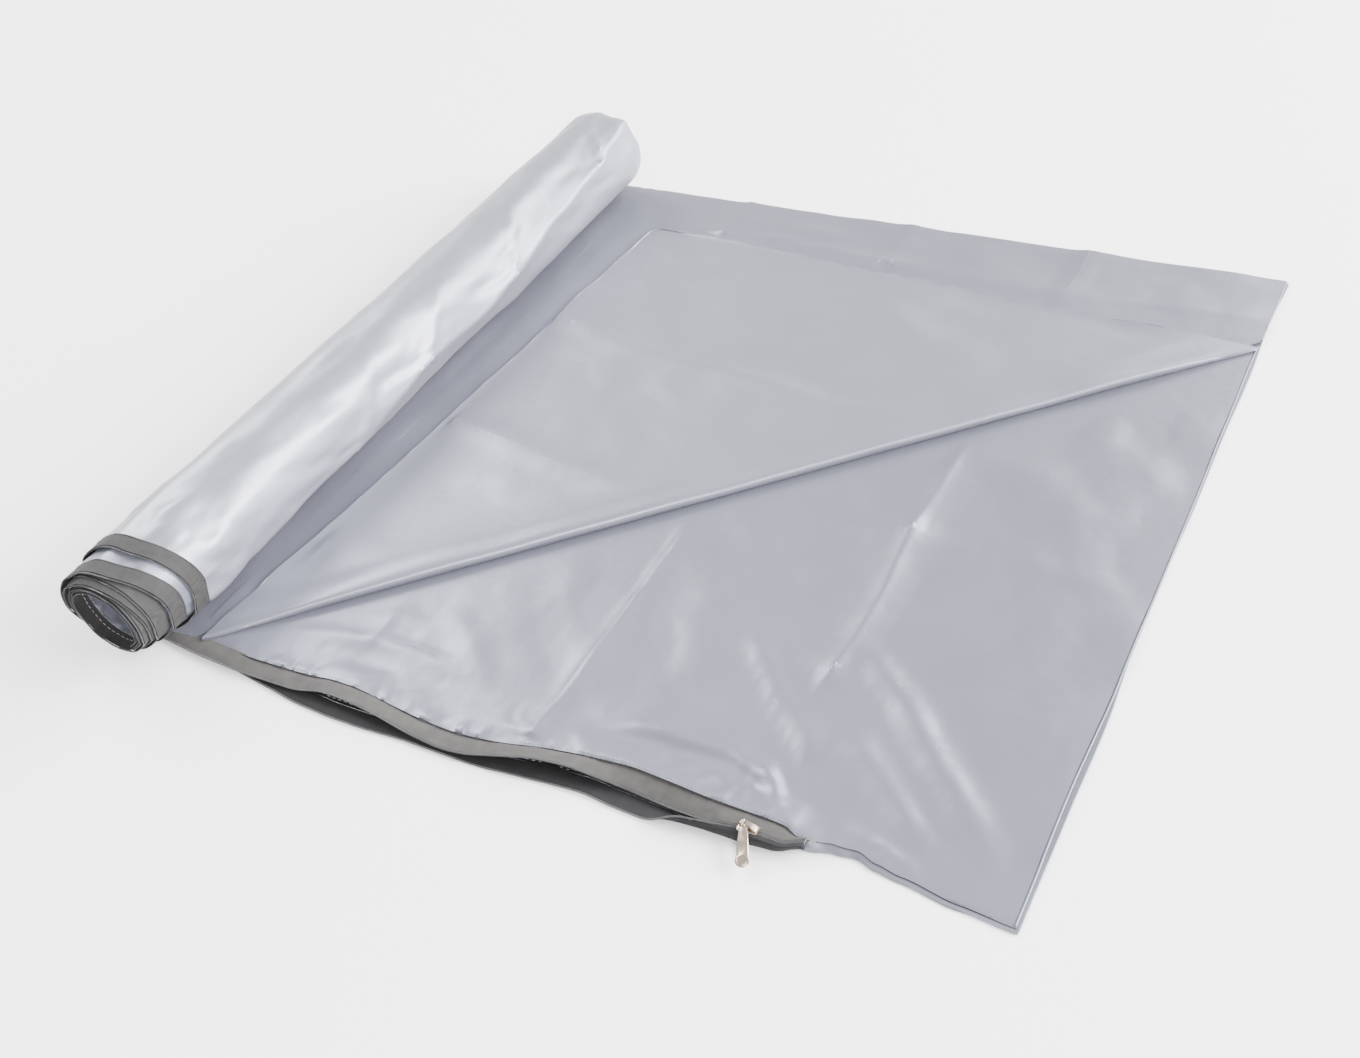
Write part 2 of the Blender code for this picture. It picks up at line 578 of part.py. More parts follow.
def build_pull_tab():
    """A flat tab whose eye turns on the crown's level bar; it hangs forward and down to the floor."""
    hinge = slider_point(HINGE_OFFSET, 0, HINGE_HEIGHT)
    across = Vector((1, 0, 0))
    down = Vector((0, -math.cos(TAB_SLOPE), -math.sin(TAB_SLOPE)))
    along = down * math.cos(TAB_SKEW) + across * math.sin(TAB_SKEW)
    side = across * math.cos(TAB_SKEW) - down * math.sin(TAB_SKEW)
    face = across.cross(down) * -1

    bm = bmesh.new()
    sides = 16
    rings = []
    for x in (-EYE_LENGTH / 2, EYE_LENGTH / 2):
        for radius in (EYE_OUTER, EYE_INNER):
            rings.append([bm.verts.new(hinge + across * x + (down * math.cos(a) + face * math.sin(a)) * radius)
                          for a in (2 * math.pi * i / sides for i in range(sides))])
    for i in range(sides):
        j = (i + 1) % sides
        for first, second in ((0, 2), (1, 3), (0, 1), (2, 3)):
            bm.faces.new((rings[first][i], rings[first][j], rings[second][j], rings[second][i]))
    eye = add_object("pull_tab", bm, METAL, hinge)

    centre = TAB_LENGTH - TAB_END_RADIUS
    edge = [(run, width) for run, width in TAB_HALF_WIDTHS]
    arc = [(centre + TAB_END_RADIUS * math.sin(a), TAB_END_RADIUS * math.cos(a))
           for a in (math.radians(-25 + 115 * i / 6) for i in range(6))]
    half = edge + arc
    places = half + [(TAB_LENGTH, 0.0)] + [(run, -width) for run, width in reversed(half)]
    bm = bmesh.new()
    flat = [hinge + along * run + side * width for run, width in places]
    low = [bm.verts.new(p - face * TAB_THICKNESS / 2) for p in flat]
    high = [bm.verts.new(p + face * TAB_THICKNESS / 2) for p in flat]
    bm.faces.new(low)
    bm.faces.new(high)
    for i in range(len(places)):
        j = (i + 1) % len(places)
        bm.faces.new((low[i], low[j], high[j], high[i]))
    blade = add_object("pull_tab_blade", bm, METAL, hinge)
    join(eye, blade, "UNION")

    bm = bmesh.new()
    sides = 20
    spot = hinge + along * (centre + 0.0003)
    rings = []
    for rise in (TAB_THICKNESS / 2 - DIMPLE_DEPTH, TAB_THICKNESS):
        rings.append([bm.verts.new(spot + face * rise
                                   + (along * math.cos(a) + side * math.sin(a)) * DIMPLE_RADIUS)
                      for a in (2 * math.pi * i / sides for i in range(sides))])
        bm.faces.new(rings[-1])
    for i in range(sides):
        j = (i + 1) % sides
        bm.faces.new((rings[0][i], rings[0][j], rings[1][j], rings[1][i]))
    dimple = add_object("pull_tab_dimple", bm, METAL, hinge)
    join(eye, dimple, "DIFFERENCE")


clear_scene()
build_floor_half()
build_top_half()
build_far_fold("outer_panel_far_fold", 0, 3)
build_far_fold("inner_panel_far_fold", 1, 2)
build_flat_seams()
build_flat_zip()
build_zip_ends()
build_roll()
build_corner_flap()
build_flap_fold()
build_slider()
build_pull_tab()
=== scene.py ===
import json
import math

import bmesh
import bpy
import numpy as np
from mathutils import Matrix, Vector


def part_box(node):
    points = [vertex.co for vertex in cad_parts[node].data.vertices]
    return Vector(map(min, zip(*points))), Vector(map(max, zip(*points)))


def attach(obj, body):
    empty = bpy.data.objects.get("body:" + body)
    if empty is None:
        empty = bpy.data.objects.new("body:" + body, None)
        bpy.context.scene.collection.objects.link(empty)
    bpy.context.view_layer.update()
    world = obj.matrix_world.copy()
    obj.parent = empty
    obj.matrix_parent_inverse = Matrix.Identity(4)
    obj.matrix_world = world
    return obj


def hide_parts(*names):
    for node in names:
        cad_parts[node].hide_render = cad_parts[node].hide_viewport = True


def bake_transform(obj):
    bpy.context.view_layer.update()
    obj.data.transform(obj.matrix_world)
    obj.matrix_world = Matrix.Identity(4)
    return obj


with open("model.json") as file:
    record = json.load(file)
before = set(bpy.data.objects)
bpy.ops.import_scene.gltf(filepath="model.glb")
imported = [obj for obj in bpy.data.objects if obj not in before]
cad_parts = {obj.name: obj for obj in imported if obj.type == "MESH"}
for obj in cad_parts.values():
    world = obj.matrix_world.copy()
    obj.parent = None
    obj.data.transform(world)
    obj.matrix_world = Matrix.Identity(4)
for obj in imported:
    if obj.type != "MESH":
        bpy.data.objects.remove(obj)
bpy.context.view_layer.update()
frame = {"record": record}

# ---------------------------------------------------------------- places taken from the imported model
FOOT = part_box("foot_seam_floor")[1].x               # the foot edge
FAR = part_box("outer_panel_far_fold")[1].y           # the far folded edge
ZIP_JOINT = next(j for j in frame["record"]["behaviour"]["joints"] if j["name"] == "puller_hinge")
NEAR = ZIP_JOINT["pos_m"][1]                        # the near edge line, under the zip
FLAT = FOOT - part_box("outer_panel_floor")[0].x      # foot edge to the line where the roll touches the floor
WIDE = FAR - NEAR
ROLL_X = FOOT - FLAT
ROLL_R = 0.052                                      # the roll's radius at its first turn
TURN_PITCH = 0.0042                                 # what each turn takes off that radius
PITCH = 0.00105                                     # one of the four layers in a turn
TURNS = 3.9
WRAP_TURNS = 1.03                                   # the outermost layer's part that shows
FOLD_D = 0.725                                      # where the corner fold leaves the near edge
FOLD_V = 0.678                                      # where it meets the foot edge
FOLD_LENGTH = math.hypot(FOLD_D, FOLD_V)
TAPE = 0.0145                                       # a zip tape's width without its coil
COIL = 0.0021                                       # and the coil's
ZIP_Z = 0.0085                                      # height of the closed chain
GAP = 0.0003                                        # between pieces that touch

# ---------------------------------------------------------------- small mathematics


def fade(x):
    """A soft step from 0 to 1."""
    x = np.clip(x, 0.0, 1.0)
    return x * x * (3 - 2 * x)


def keyed(keys, x):
    """A soft curve through (place, value) pairs in rising order of place."""
    places = np.array([k[0] for k in keys])
    values = np.array([k[1] for k in keys], float)
    x = np.asarray(x, float)
    i = np.clip(np.searchsorted(places, x) - 1, 0, len(places) - 2)
    share = fade((x - places[i]) / (places[i + 1] - places[i]))
    return values[i] + (values[i + 1] - values[i]) * share


def noise(u, v, seed):
    """Smooth random field between -1 and 1 with features one unit across."""
    table = np.random.RandomState(seed).uniform(-1, 1, (64, 64))
    iu, iv = np.floor(u).astype(int), np.floor(v).astype(int)
    fu, fv = u - iu, v - iv
    fu = fu * fu * fu * (fu * (fu * 6 - 15) + 10)
    fv = fv * fv * fv * (fv * (fv * 6 - 15) + 10)
    a = table[iu % 64, iv % 64]
    b = table[(iu + 1) % 64, iv % 64]
    c = table[iu % 64, (iv + 1) % 64]
    d = table[(iu + 1) % 64, (iv + 1) % 64]
    return (a * (1 - fu) + b * fu) * (1 - fv) + (c * (1 - fu) + d * fu) * fv


def line_distance(x, y, points):
    """Distance to a broken line, signed by its side, and the share of the way along it."""
    best = np.full(np.shape(x), 1e9)
    side = np.zeros(np.shape(x))
    share = np.zeros(np.shape(x))
    lengths = [math.dist(p, q) for p, q in zip(points, points[1:])]
    total, done = sum(lengths), 0.0
    for (px, py), (qx, qy), length in zip(points, points[1:], lengths):
        ux, uy = (qx - px) / length, (qy - py) / length
        run = np.clip((x - px) * ux + (y - py) * uy, 0, length)
        dx, dy = x - px - ux * run, y - py - uy * run
        away = np.hypot(dx, dy)
        closer = away < best
        best = np.where(closer, away, best)
        side = np.where(closer, np.sign(ux * dy - uy * dx), side)
        share = np.where(closer, (done + run) / total, share)
        done += length
    return best * side, share


def ends(share, first, last):
    """Fades in over the first part of a line and out over the last."""
    value = np.ones(np.shape(share))
    if first:
        value = value * fade(share / first)
    if last:
        value = value * fade((1 - share) / last)
    return value


def crease(x, y, points, height, width, first=0.1, last=0.1):
    """A sharp pressed-in fold line: a small tent with a narrow top."""
    away, share = line_distance(x, y, points)
    peak = np.exp(-(np.sqrt(away * away + 0.0008 ** 2) - 0.0008) / width)
    return height * peak * ends(share, first, last)


def wave(x, y, points, height, width, steep=0.0, first=0.25, last=0.25):
    """A soft rounded wrinkle; steep makes one flank fall more quickly than the other."""
    away, share = line_distance(x, y, points)
    reach = width * (1 + steep * np.tanh(away / width))
    return height * np.exp(-(away / reach) ** 2) * ends(share, first, last)


def step(x, y, points, height, width, first=0.25, last=0.25):
    """A height difference across a line, fading out away from it on both sides."""
    away, share = line_distance(x, y, points)
    return height * np.tanh(away / width) * np.exp(-(away / (width * 5)) ** 2) * ends(share, first, last)


def pinch(x, y, place, height, radius, arms, seed):
    """A small gathered knot with folds running out of it."""
    dx, dy = x - place[0], y - place[1]
    r = np.hypot(dx, dy)
    angle = np.arctan2(dy, dx)
    turn = np.random.RandomState(seed).uniform(0, 6.28)
    star = 0.5 + 0.5 * np.cos(arms * angle + turn + 9 * r / radius)
    return height * (np.exp(-(r / (0.25 * radius)) ** 2) + 0.55 * star * np.exp(-(r / radius) ** 2)
                     * fade(r / (0.2 * radius)))


# ---------------------------------------------------------------- meshes


def finish_mesh(name, verts, loops, sizes, angle=50, body="cover"):
    """A smooth-shaded object from its points, its faces' corners and how many corners each face has."""
    mesh = bpy.data.meshes.new(name)
    mesh.vertices.add(len(verts))
    mesh.vertices.foreach_set("co", np.asarray(verts, np.float32).ravel())
    mesh.loops.add(len(loops))
    mesh.loops.foreach_set("vertex_index", np.asarray(loops, np.int32))
    mesh.polygons.add(len(sizes))
    starts = np.concatenate(([0], np.cumsum(sizes)[:-1]))
    mesh.polygons.foreach_set("loop_start", starts.astype(np.int32))
    mesh.update(calc_edges=True)
    mesh.validate()
    mesh.shade_smooth()
    mesh.set_sharp_from_angle(angle=math.radians(angle))
    made = bpy.data.objects.new(name, mesh)
    bpy.context.scene.collection.objects.link(made)
    if body:
        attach(made, body)
    return made


def grid_normals(points):
    """The way a grid of points faces at each of them."""
    along = np.gradient(points, axis=0)
    across = np.gradient(points, axis=1)
    normal = np.cross(along, across)
    return normal / np.maximum(np.linalg.norm(normal, axis=2, keepdims=True), 1e-12)


def cloth(name, points, thickness=0.0005, stride=3, flip=False, body="cover"):
    """A closed thin sheet: the fine grid of points is its face, a coarser offset grid its back.

    Rows and columns are cut so that stride divides their number of steps.
    """
    rows = (points.shape[0] - 1) // stride * stride + 1
    columns = (points.shape[1] - 1) // stride * stride + 1
    pick_rows = np.unique(np.round(np.linspace(0, points.shape[0] - 1, rows)).astype(int))
    pick_columns = np.unique(np.round(np.linspace(0, points.shape[1] - 1, columns)).astype(int))
    points = points[np.ix_(pick_rows, pick_columns)]
    normals = grid_normals(points)
    if flip:
        normals = -normals
    back = (points - normals * thickness)[::stride, ::stride]
    verts = np.concatenate([points.reshape(-1, 3), back.reshape(-1, 3)])
    index = np.arange(rows * columns).reshape(rows, columns)
    low = rows * columns + np.arange(back.shape[0] * back.shape[1]).reshape(back.shape[:2])
    front = np.stack([index[:-1, :-1], index[1:, :-1], index[1:, 1:], index[:-1, 1:]], -1).reshape(-1, 4)
    rear = np.stack([low[:-1, :-1], low[:-1, 1:], low[1:, 1:], low[1:, :-1]], -1).reshape(-1, 4)
    border = []

    def side(fine, coarse, turn):
        for k in range(len(coarse) - 1):
            face = list(fine[k * stride:(k + 1) * stride + 1]) + [coarse[k + 1], coarse[k]]
            border.append(face[::-1] if turn else face)

    side(index[0, :], low[0, :], False)
    side(index[-1, :], low[-1, :], True)
    side(index[:, 0], low[:, 0], True)
    side(index[:, -1], low[:, -1], False)
    if flip:
        front, rear = front[:, ::-1], rear[:, ::-1]
        border = [face[::-1] for face in border]
    loops = np.concatenate([front.ravel(), rear.ravel(), np.array(border).ravel()])
    sizes = [4] * (len(front) + len(rear)) + [stride + 3] * len(border)
    return finish_mesh(name, verts, loops, sizes, body=body)


def tube(name, path, radius, sides=6, body="cover"):
    """A closed round cord along a path of points; radius may vary along it."""
    return finish_mesh(name, *tube_parts(path, radius, sides, 0), angle=70, body=body)


def tube_parts(path, radius, sides, offset):
    """Points, corners and face sizes of a cord whose points are numbered from offset."""
    path = np.asarray(path, float)
    count = len(path)
    radius = np.broadcast_to(np.asarray(radius, float), (count,))
    way = np.gradient(path, axis=0)
    way /= np.maximum(np.linalg.norm(way, axis=1, keepdims=True), 1e-12)
    side = np.cross(way, np.array([0.0, 0.0, 1.0]))
    flat = np.linalg.norm(side, axis=1, keepdims=True)
    side = np.where(flat > 1e-4, side / np.maximum(flat, 1e-9), np.array([0.0, 1.0, 0.0]))
    lift = np.cross(side, way)
    angles = 2 * math.pi * np.arange(sides) / sides
    ring = side[:, None, :] * np.cos(angles)[None, :, None] + lift[:, None, :] * np.sin(angles)[None, :, None]
    verts = (path[:, None, :] + ring * radius[:, None, None]).reshape(-1, 3)
    index = offset + np.arange(count * sides).reshape(count, sides)
    following = np.roll(index, -1, axis=1)
    quads = np.stack([index[:-1], following[:-1], following[1:], index[1:]], -1).reshape(-1, 4)
    loops = list(quads.ravel()) + list(index[0][::-1]) + list(index[-1])
    return verts, loops, [4] * len(quads) + [sides, sides]


def tubes(name, paths, radius, sides=5):
    """Many separate short cords in one piece."""
    verts, loops, sizes, offset = [], [], [], 0
    for path in paths:
        points, corners, counts = tube_parts(path, radius, sides, offset)
        verts.append(points)
        loops += corners
        sizes += counts
        offset += len(points)
    return finish_mesh(name, np.concatenate(verts), loops, sizes, angle=70)


def run_along(path):
    """How far along a path each of its points lies."""
    return np.concatenate(([0], np.cumsum(np.linalg.norm(np.diff(path, axis=0), axis=1))))


def points_at(places, run, values):
    """Values, one row for each point of a path, read off at places along it."""
    return np.stack([np.interp(places, run, values[:, k]) for k in range(3)], -1)


def coil(name, path, side, face, steps=8, sides=5, tall=0.0016, pitch=0.00135, wire=0.00027):
    """A zip's nylon coil: a flattened helix along a path with its own sideways and face directions."""
    run = run_along(path)
    places = np.linspace(0, run[-1], int(run[-1] / pitch * steps))
    turn = (2 * math.pi * places / pitch)[:, None]
    centre = points_at(places, run, path) + points_at(places, run, side) * np.cos(turn) * (COIL / 2 - wire)
    return tube(name, centre + points_at(places, run, face) * np.sin(turn) * (tall / 2 - wire), wire, sides)


def stitches(name, path, length, space, radius=0.00026, rise=0.0):
    """A row of sewing stitches along a path, each a short bowed thread."""
    run = run_along(path)
    found = []
    for start in np.arange(0.0005, run[-1] - length, length + space):
        points = points_at(start + length * np.array([0, 0.2, 0.5, 0.8, 1.0]), run, path)
        points[:, 2] += rise + radius * np.array([-1.2, 0.3, 0.7, 0.3, -1.2])
        found.append(points)
    return tubes(name, found, radius)


def at(d, v, z):
    """World points from distance to the foot edge, distance in from the near edge line, and height."""
    d, v, z = np.broadcast_arrays(np.asarray(d, float), np.asarray(v, float), np.asarray(z, float))
    return np.stack([FOOT - d, NEAR + v, z], -1)


def spaced(first, last, fine_until, fine, coarse):
    """Places from first to last, finely spaced up to a point and coarsely beyond it."""
    near_part = np.arange(first, fine_until, fine)
    far_part = np.linspace(fine_until, last, max(2, int(round((last - fine_until) / coarse)) + 1))
    return np.concatenate([near_part, far_part])


def relief(d, v, marks):
    """Height made by marks: each is crease, wave, step or pinch, its line or place, and its sizes."""
    return sum(kind(d, v, *details) for kind, *details in marks)


# ---------------------------------------------------------------- materials
class Look:
    """A procedural material being put together round its Principled shader."""

    def __init__(self, name, settings):
        self.material = bpy.data.materials.new(name)
        self.material.use_nodes = True
        self.nodes = self.material.node_tree.nodes
        self.link = self.material.node_tree.links.new
        self.shader = self.nodes["Principled BSDF"]
        for socket, value in settings.items():
            self.shader.inputs[socket].default_value = value
        self.place = self.nodes.new("ShaderNodeTexCoord").outputs["Object"]

    def texture(self, kind, sockets, **settings):
        """A noise or wave texture in the object's own coordinates."""
        made = self.nodes.new(kind)
        for socket, value in sockets.items():
            made.inputs[socket].default_value = value
        for setting, value in settings.items():
            setattr(made, setting, value)
        self.link(self.place, made.inputs["Vector"])
        return made.outputs["Fac"]

    def combined(self, operation, first, second):
        """Two textures, or a texture and a number, in one sum or product."""
        made = self.nodes.new("ShaderNodeMath")
        made.operation = operation
        self.link(first, made.inputs[0])
        if isinstance(second, float):
            made.inputs[1].default_value = second
        else:
            self.link(second, made.inputs[1])
        return made.outputs[0]

    def tint(self, texture, low, high):
        """The base colour runs from low to high with a texture."""
        mix = self.nodes.new("ShaderNodeMixRGB")
        mix.inputs[1].default_value = (*low, 1)
        mix.inputs[2].default_value = (*high, 1)
        self.link(texture, mix.inputs[0])
        self.link(mix.outputs[0], self.shader.inputs["Base Color"])

    def gloss(self, texture, low, high):
        """The roughness runs from low to high with a texture."""
        spread = self.nodes.new("ShaderNodeMapRange")
        spread.inputs["To Min"].default_value = low
        spread.inputs["To Max"].default_value = high
        self.link(texture, spread.inputs["Value"])
        self.link(spread.outputs["Result"], self.shader.inputs["Roughness"])

    def bump(self, texture, strength, distance, under=None):
        """Fine relief; under is the bump that it lies on."""
        made = self.nodes.new("ShaderNodeBump")
        made.inputs["Strength"].default_value = strength
        made.inputs["Distance"].default_value = distance
        self.link(texture, made.inputs["Height"])
        if under:
            self.link(under, made.inputs["Normal"])
        self.link(made.outputs["Normal"], self.shader.inputs["Normal"])
        return made.outputs["Normal"]


def satin(name, colour, rough=0.40, metal=0.5, crumple=0.45, spec=0.5, sheen=0.05):
    """Silver satin: fine twill, faint cloudy colour, soft crumpling and a silky sheen."""
    look = Look(name, {"Metallic": metal, "Specular IOR Level": spec, "Sheen Weight": sheen,
                       "Sheen Roughness": 0.4})
    cloud = look.texture("ShaderNodeTexNoise", {"Scale": 14, "Detail": 3})
    look.tint(cloud, [c * 0.965 for c in colour], [c * 1.035 for c in colour])
    look.gloss(cloud, rough - 0.04, rough + 0.05)
    twill = look.texture("ShaderNodeTexWave", {"Scale": 900, "Distortion": 1.5}, wave_type="BANDS",
                         bands_direction="DIAGONAL")
    small = look.texture("ShaderNodeTexNoise", {"Scale": 70, "Detail": 4})
    look.bump(small, crumple, 0.0008, look.bump(twill, 0.08, 0.0001))
    return look.material


def woven(name, light, dark):
    """Zip tape: a plain weave with lighter crossings and hollows painted darker as their shade, and random
    patches of tone.
    """
    look = Look(name, {"Roughness": 0.78, "Sheen Weight": 0.03, "Specular IOR Level": 0.2})
    warp, weft = (look.texture("ShaderNodeTexWave", {"Scale": 620, "Distortion": 0.6}, wave_type="BANDS",
                               bands_direction=direction) for direction in ("X", "Y"))
    patch = look.texture("ShaderNodeTexNoise", {"Scale": 120})
    total = look.combined("ADD", look.combined("MULTIPLY", warp, weft), patch)
    weave = look.combined("MULTIPLY", total, 0.6)
    # painted shade: the weave's hollows take the dark colour and its crossings the light one
    look.tint(weave, dark, light)
    look.bump(weave, 0.5, 0.00015)
    return look.material


def speckled(name, low, high, rough, metal=0.0, scale=300, bump_strength=0.2, coat=0.0):
    """Moulded plastic, thread or plated metal with fine variation in colour and finish."""
    look = Look(name, {"Metallic": metal, "Coat Weight": coat})
    grain = look.texture("ShaderNodeTexNoise", {"Scale": scale, "Detail": 4})
    look.tint(grain, low, high)
    look.gloss(grain, max(0.05, rough - 0.08), rough + 0.08)
    look.bump(grain, bump_strength, 0.0001)
    return look.material


SATIN = satin("silver satin", (0.158, 0.162, 0.201))
# painted light: the same silver satin, set lighter for the light falling on the flap's face
SATIN_PAINTED_LIT_FLAP = satin("silver satin face of the flap", (0.188, 0.192, 0.234))
# painted light: the same silver satin, set lighter for the light on the roll's outer turn
SATIN_PAINTED_LIT_ROLL = satin("silver satin of the roll", (0.222, 0.226, 0.266))
# partly painted shade: the satin's inner face is a dark glossy coating, and this colour is set darker still
# for the shade inside the open mouth
LINING_PAINTED_SHADE = satin("dark side of the satin", (0.016, 0.016, 0.018), rough=0.34, metal=0.3, crumple=0.8,
               spec=0.3, sheen=0.0)
TAPE_LIGHT = woven("taupe zip tape", (0.084, 0.080, 0.078), (0.031, 0.029, 0.0285))
# painted shade: the taupe tape's colour set darker for the shade inside the roll
TAPE_PAINTED_ROLL_SHADE = woven("zip tape wound in the roll", (0.043, 0.041, 0.041), (0.015, 0.0143, 0.0143))
# painted shade: the taupe tape's colour set much darker for the shade on the lower tape inside the open mouth
TAPE_PAINTED_MOUTH_SHADE = woven("zip tape, inner side", (0.019, 0.018, 0.0195), (0.0066, 0.0062, 0.0070))
COIL_DARK = speckled("nylon coil", (0.006, 0.006, 0.007), (0.018, 0.018, 0.020), 0.4, coat=0.3)
# painted highlight: a paler copy of the dark nylon for the light caught on the coil's turns
COIL_PAINTED_HIGHLIGHT = speckled("nylon coil, worn", (0.032, 0.032, 0.034), (0.075, 0.075, 0.078), 0.42, coat=0.2)
# painted light and shade: a paler copy of the dark nylon, its highlight dimmed for the shade in the roll
COIL_ROLL_PAINTED_HIGHLIGHT = speckled("nylon coil in the roll", (0.014, 0.014, 0.015), (0.034, 0.034, 0.036), 0.42, coat=0.2)
NEEDLE = speckled("dark needle thread", (0.008, 0.008, 0.009), (0.022, 0.022, 0.024), 0.7)
THREAD = speckled("grey sewing thread", (0.15, 0.15, 0.17), (0.26, 0.26, 0.285), 0.65)
PALE_THREAD = speckled("pale sewing thread", (0.19, 0.19, 0.20), (0.34, 0.34, 0.355), 0.6)
PLATED = speckled("pale plated metal", (0.36, 0.305, 0.245), (0.50, 0.43, 0.355), 0.26, metal=1.0, scale=260,
                  bump_strength=0.12)
# a paler copy of the plated metal for the pressed mark's dish
PLATED_PALE = speckled("polished pressed mark", (0.62, 0.575, 0.56), (0.74, 0.70, 0.68), 0.3, metal=0.6,
                       scale=500, bump_strength=0.1)


def dress(piece, material, slot, *nodes):
    """Gives a piece its material and hides the CAD nodes that it stands for; the slot argument is not used.
    """
    piece.data.materials.clear()
    piece.data.materials.append(material)
    if nodes:
        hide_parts(*nodes)
    return piece


# ---------------------------------------------------------------- the near edge and the zip's line
LOWER_SEWN = [(0.145, 0.0015), (0.153, -0.0063), (0.208, -0.0063), (0.240, 0.0), (0.270, -0.0010),
              (0.303, 0.0), (0.327, 0.0024), (0.363, -0.0003), (0.400, -0.0049), (0.440, -0.0071),
              (0.497, -0.0074), (0.530, -0.0100), (0.565, -0.0104), (0.604, -0.0081), (0.636, -0.0035),
              (0.680, 0.0025), (0.745, 0.0105)]
# the upper panel's sewn edge along the tape: how far in from the near line, and how high
SATIN_V = [(0.155, 0.0100), (0.180, 0.0125), (0.206, 0.0125), (0.232, 0.0125), (0.260, 0.0145),
           (0.300, 0.0168), (0.345, 0.0128), (0.375, 0.0090), (0.408, 0.0022), (0.432, -0.0013),
           (0.455, -0.0030), (0.486, -0.0018), (0.521, 0.0018), (0.555, 0.0045), (0.582, 0.0045),
           (0.609, 0.0022), (0.640, 0.0008), (0.670, 0.0002), (0.720, 0.0030), (0.773, 0.0081)]
SATIN_Z = [(0.155, 0.0086), (0.206, 0.0092), (0.232, 0.0095), (0.300, 0.0092), (0.345, 0.0078),
           (0.375, 0.0062), (0.408, 0.0045), (0.432, 0.0038), (0.486, 0.0036), (0.521, 0.0040),
           (0.555, 0.0062), (0.582, 0.0058), (0.602, 0.0036), (0.640, 0.0034), (0.720, 0.0030),
           (0.773, 0.0018)]
# the upper tape's free edge, where its coil is
UPPER_V = [(0.155, 0.0008), (0.206, 0.0008), (0.232, -0.0028), (0.260, -0.0008), (0.300, 0.0022),
           (0.345, -0.0013), (0.375, -0.0049), (0.408, -0.0127), (0.432, -0.0175), (0.455, -0.0195),
           (0.486, -0.0170), (0.521, -0.0129), (0.555, -0.0100), (0.582, -0.0098), (0.609, -0.0138),
           (0.640, -0.0143), (0.670, -0.0152), (0.720, -0.0125), (0.773, -0.0064)]
UPPER_Z = [(0.155, 0.0085), (0.206, 0.0088), (0.232, 0.0062), (0.260, 0.0038), (0.300, 0.0042),
           (0.345, 0.0125), (0.375, 0.0125), (0.408, 0.0090), (0.432, 0.0050), (0.455, 0.0044),
           (0.486, 0.0050), (0.521, 0.0085), (0.555, 0.0100), (0.582, 0.0088), (0.602, 0.0044),
           (0.640, 0.0040), (0.670, 0.0046), (0.720, 0.0036), (0.773, 0.0018)]
SEAM_LINE = [(0.0, 0.0005), (0.040, 0.003), (0.085, 0.0085), (0.103, 0.0110), (0.118, 0.0150),
             (0.133, 0.0130), (0.155, 0.0080)]
SEAM_Z = [(0.0, 0.0016), (0.04, 0.0018), (0.085, 0.0024), (0.103, 0.0034), (0.12, 0.0048),
          (0.14, 0.0066), (0.155, 0.0082)]
STITCH_D = 0.155                                    # the closed end of the zip
CHAIN_EDGE = 0.0006                                 # from the chain's middle to the upper tape's edge


def flowing(keys, d, soft=0.009):
    """A line through (place, value) pairs with its corners rounded off."""
    places, values = zip(*keys)
    shares = ((-1, 0.15), (-0.5, 0.2), (0, 0.3), (0.5, 0.2), (1, 0.15))
    return sum(share * np.interp(d + soft * shift, places, values) for shift, share in shares)


def chain_v(d):
    """The zip's closed chain; it bends in a little at its end."""
    return 0.0066 * fade((0.170 - d) / 0.016)


def satin_edge(d):
    """Where the upper panel's satin meets the tape; it closes over the tape at the zip's end."""
    closing = 1 - fade((d - 0.150) / 0.022)
    edge = flowing(SATIN_V, d) * (1 - closing) + (chain_v(d) + CHAIN_EDGE) * closing
    return np.where(d < STITCH_D, keyed(SEAM_LINE, d), edge)


def satin_z(d):
    """Height of the upper panel's edge."""
    rise = 0.0012 * fade((d - STITCH_D) / 0.025) - 0.0004 * (1 - fade((d - STITCH_D) / 0.02))
    return np.where(d < STITCH_D, keyed(SEAM_Z, d), flowing(SATIN_Z, d) + rise)


SHEET_Z = 0.0019                                    # where the bottom half's upper panel lies flat
FAR_CREASE = [(0.204, 0.47), (0.2065, 0.34), (0.2005, 0.25), (0.204, 0.165), (0.214, 0.125)]
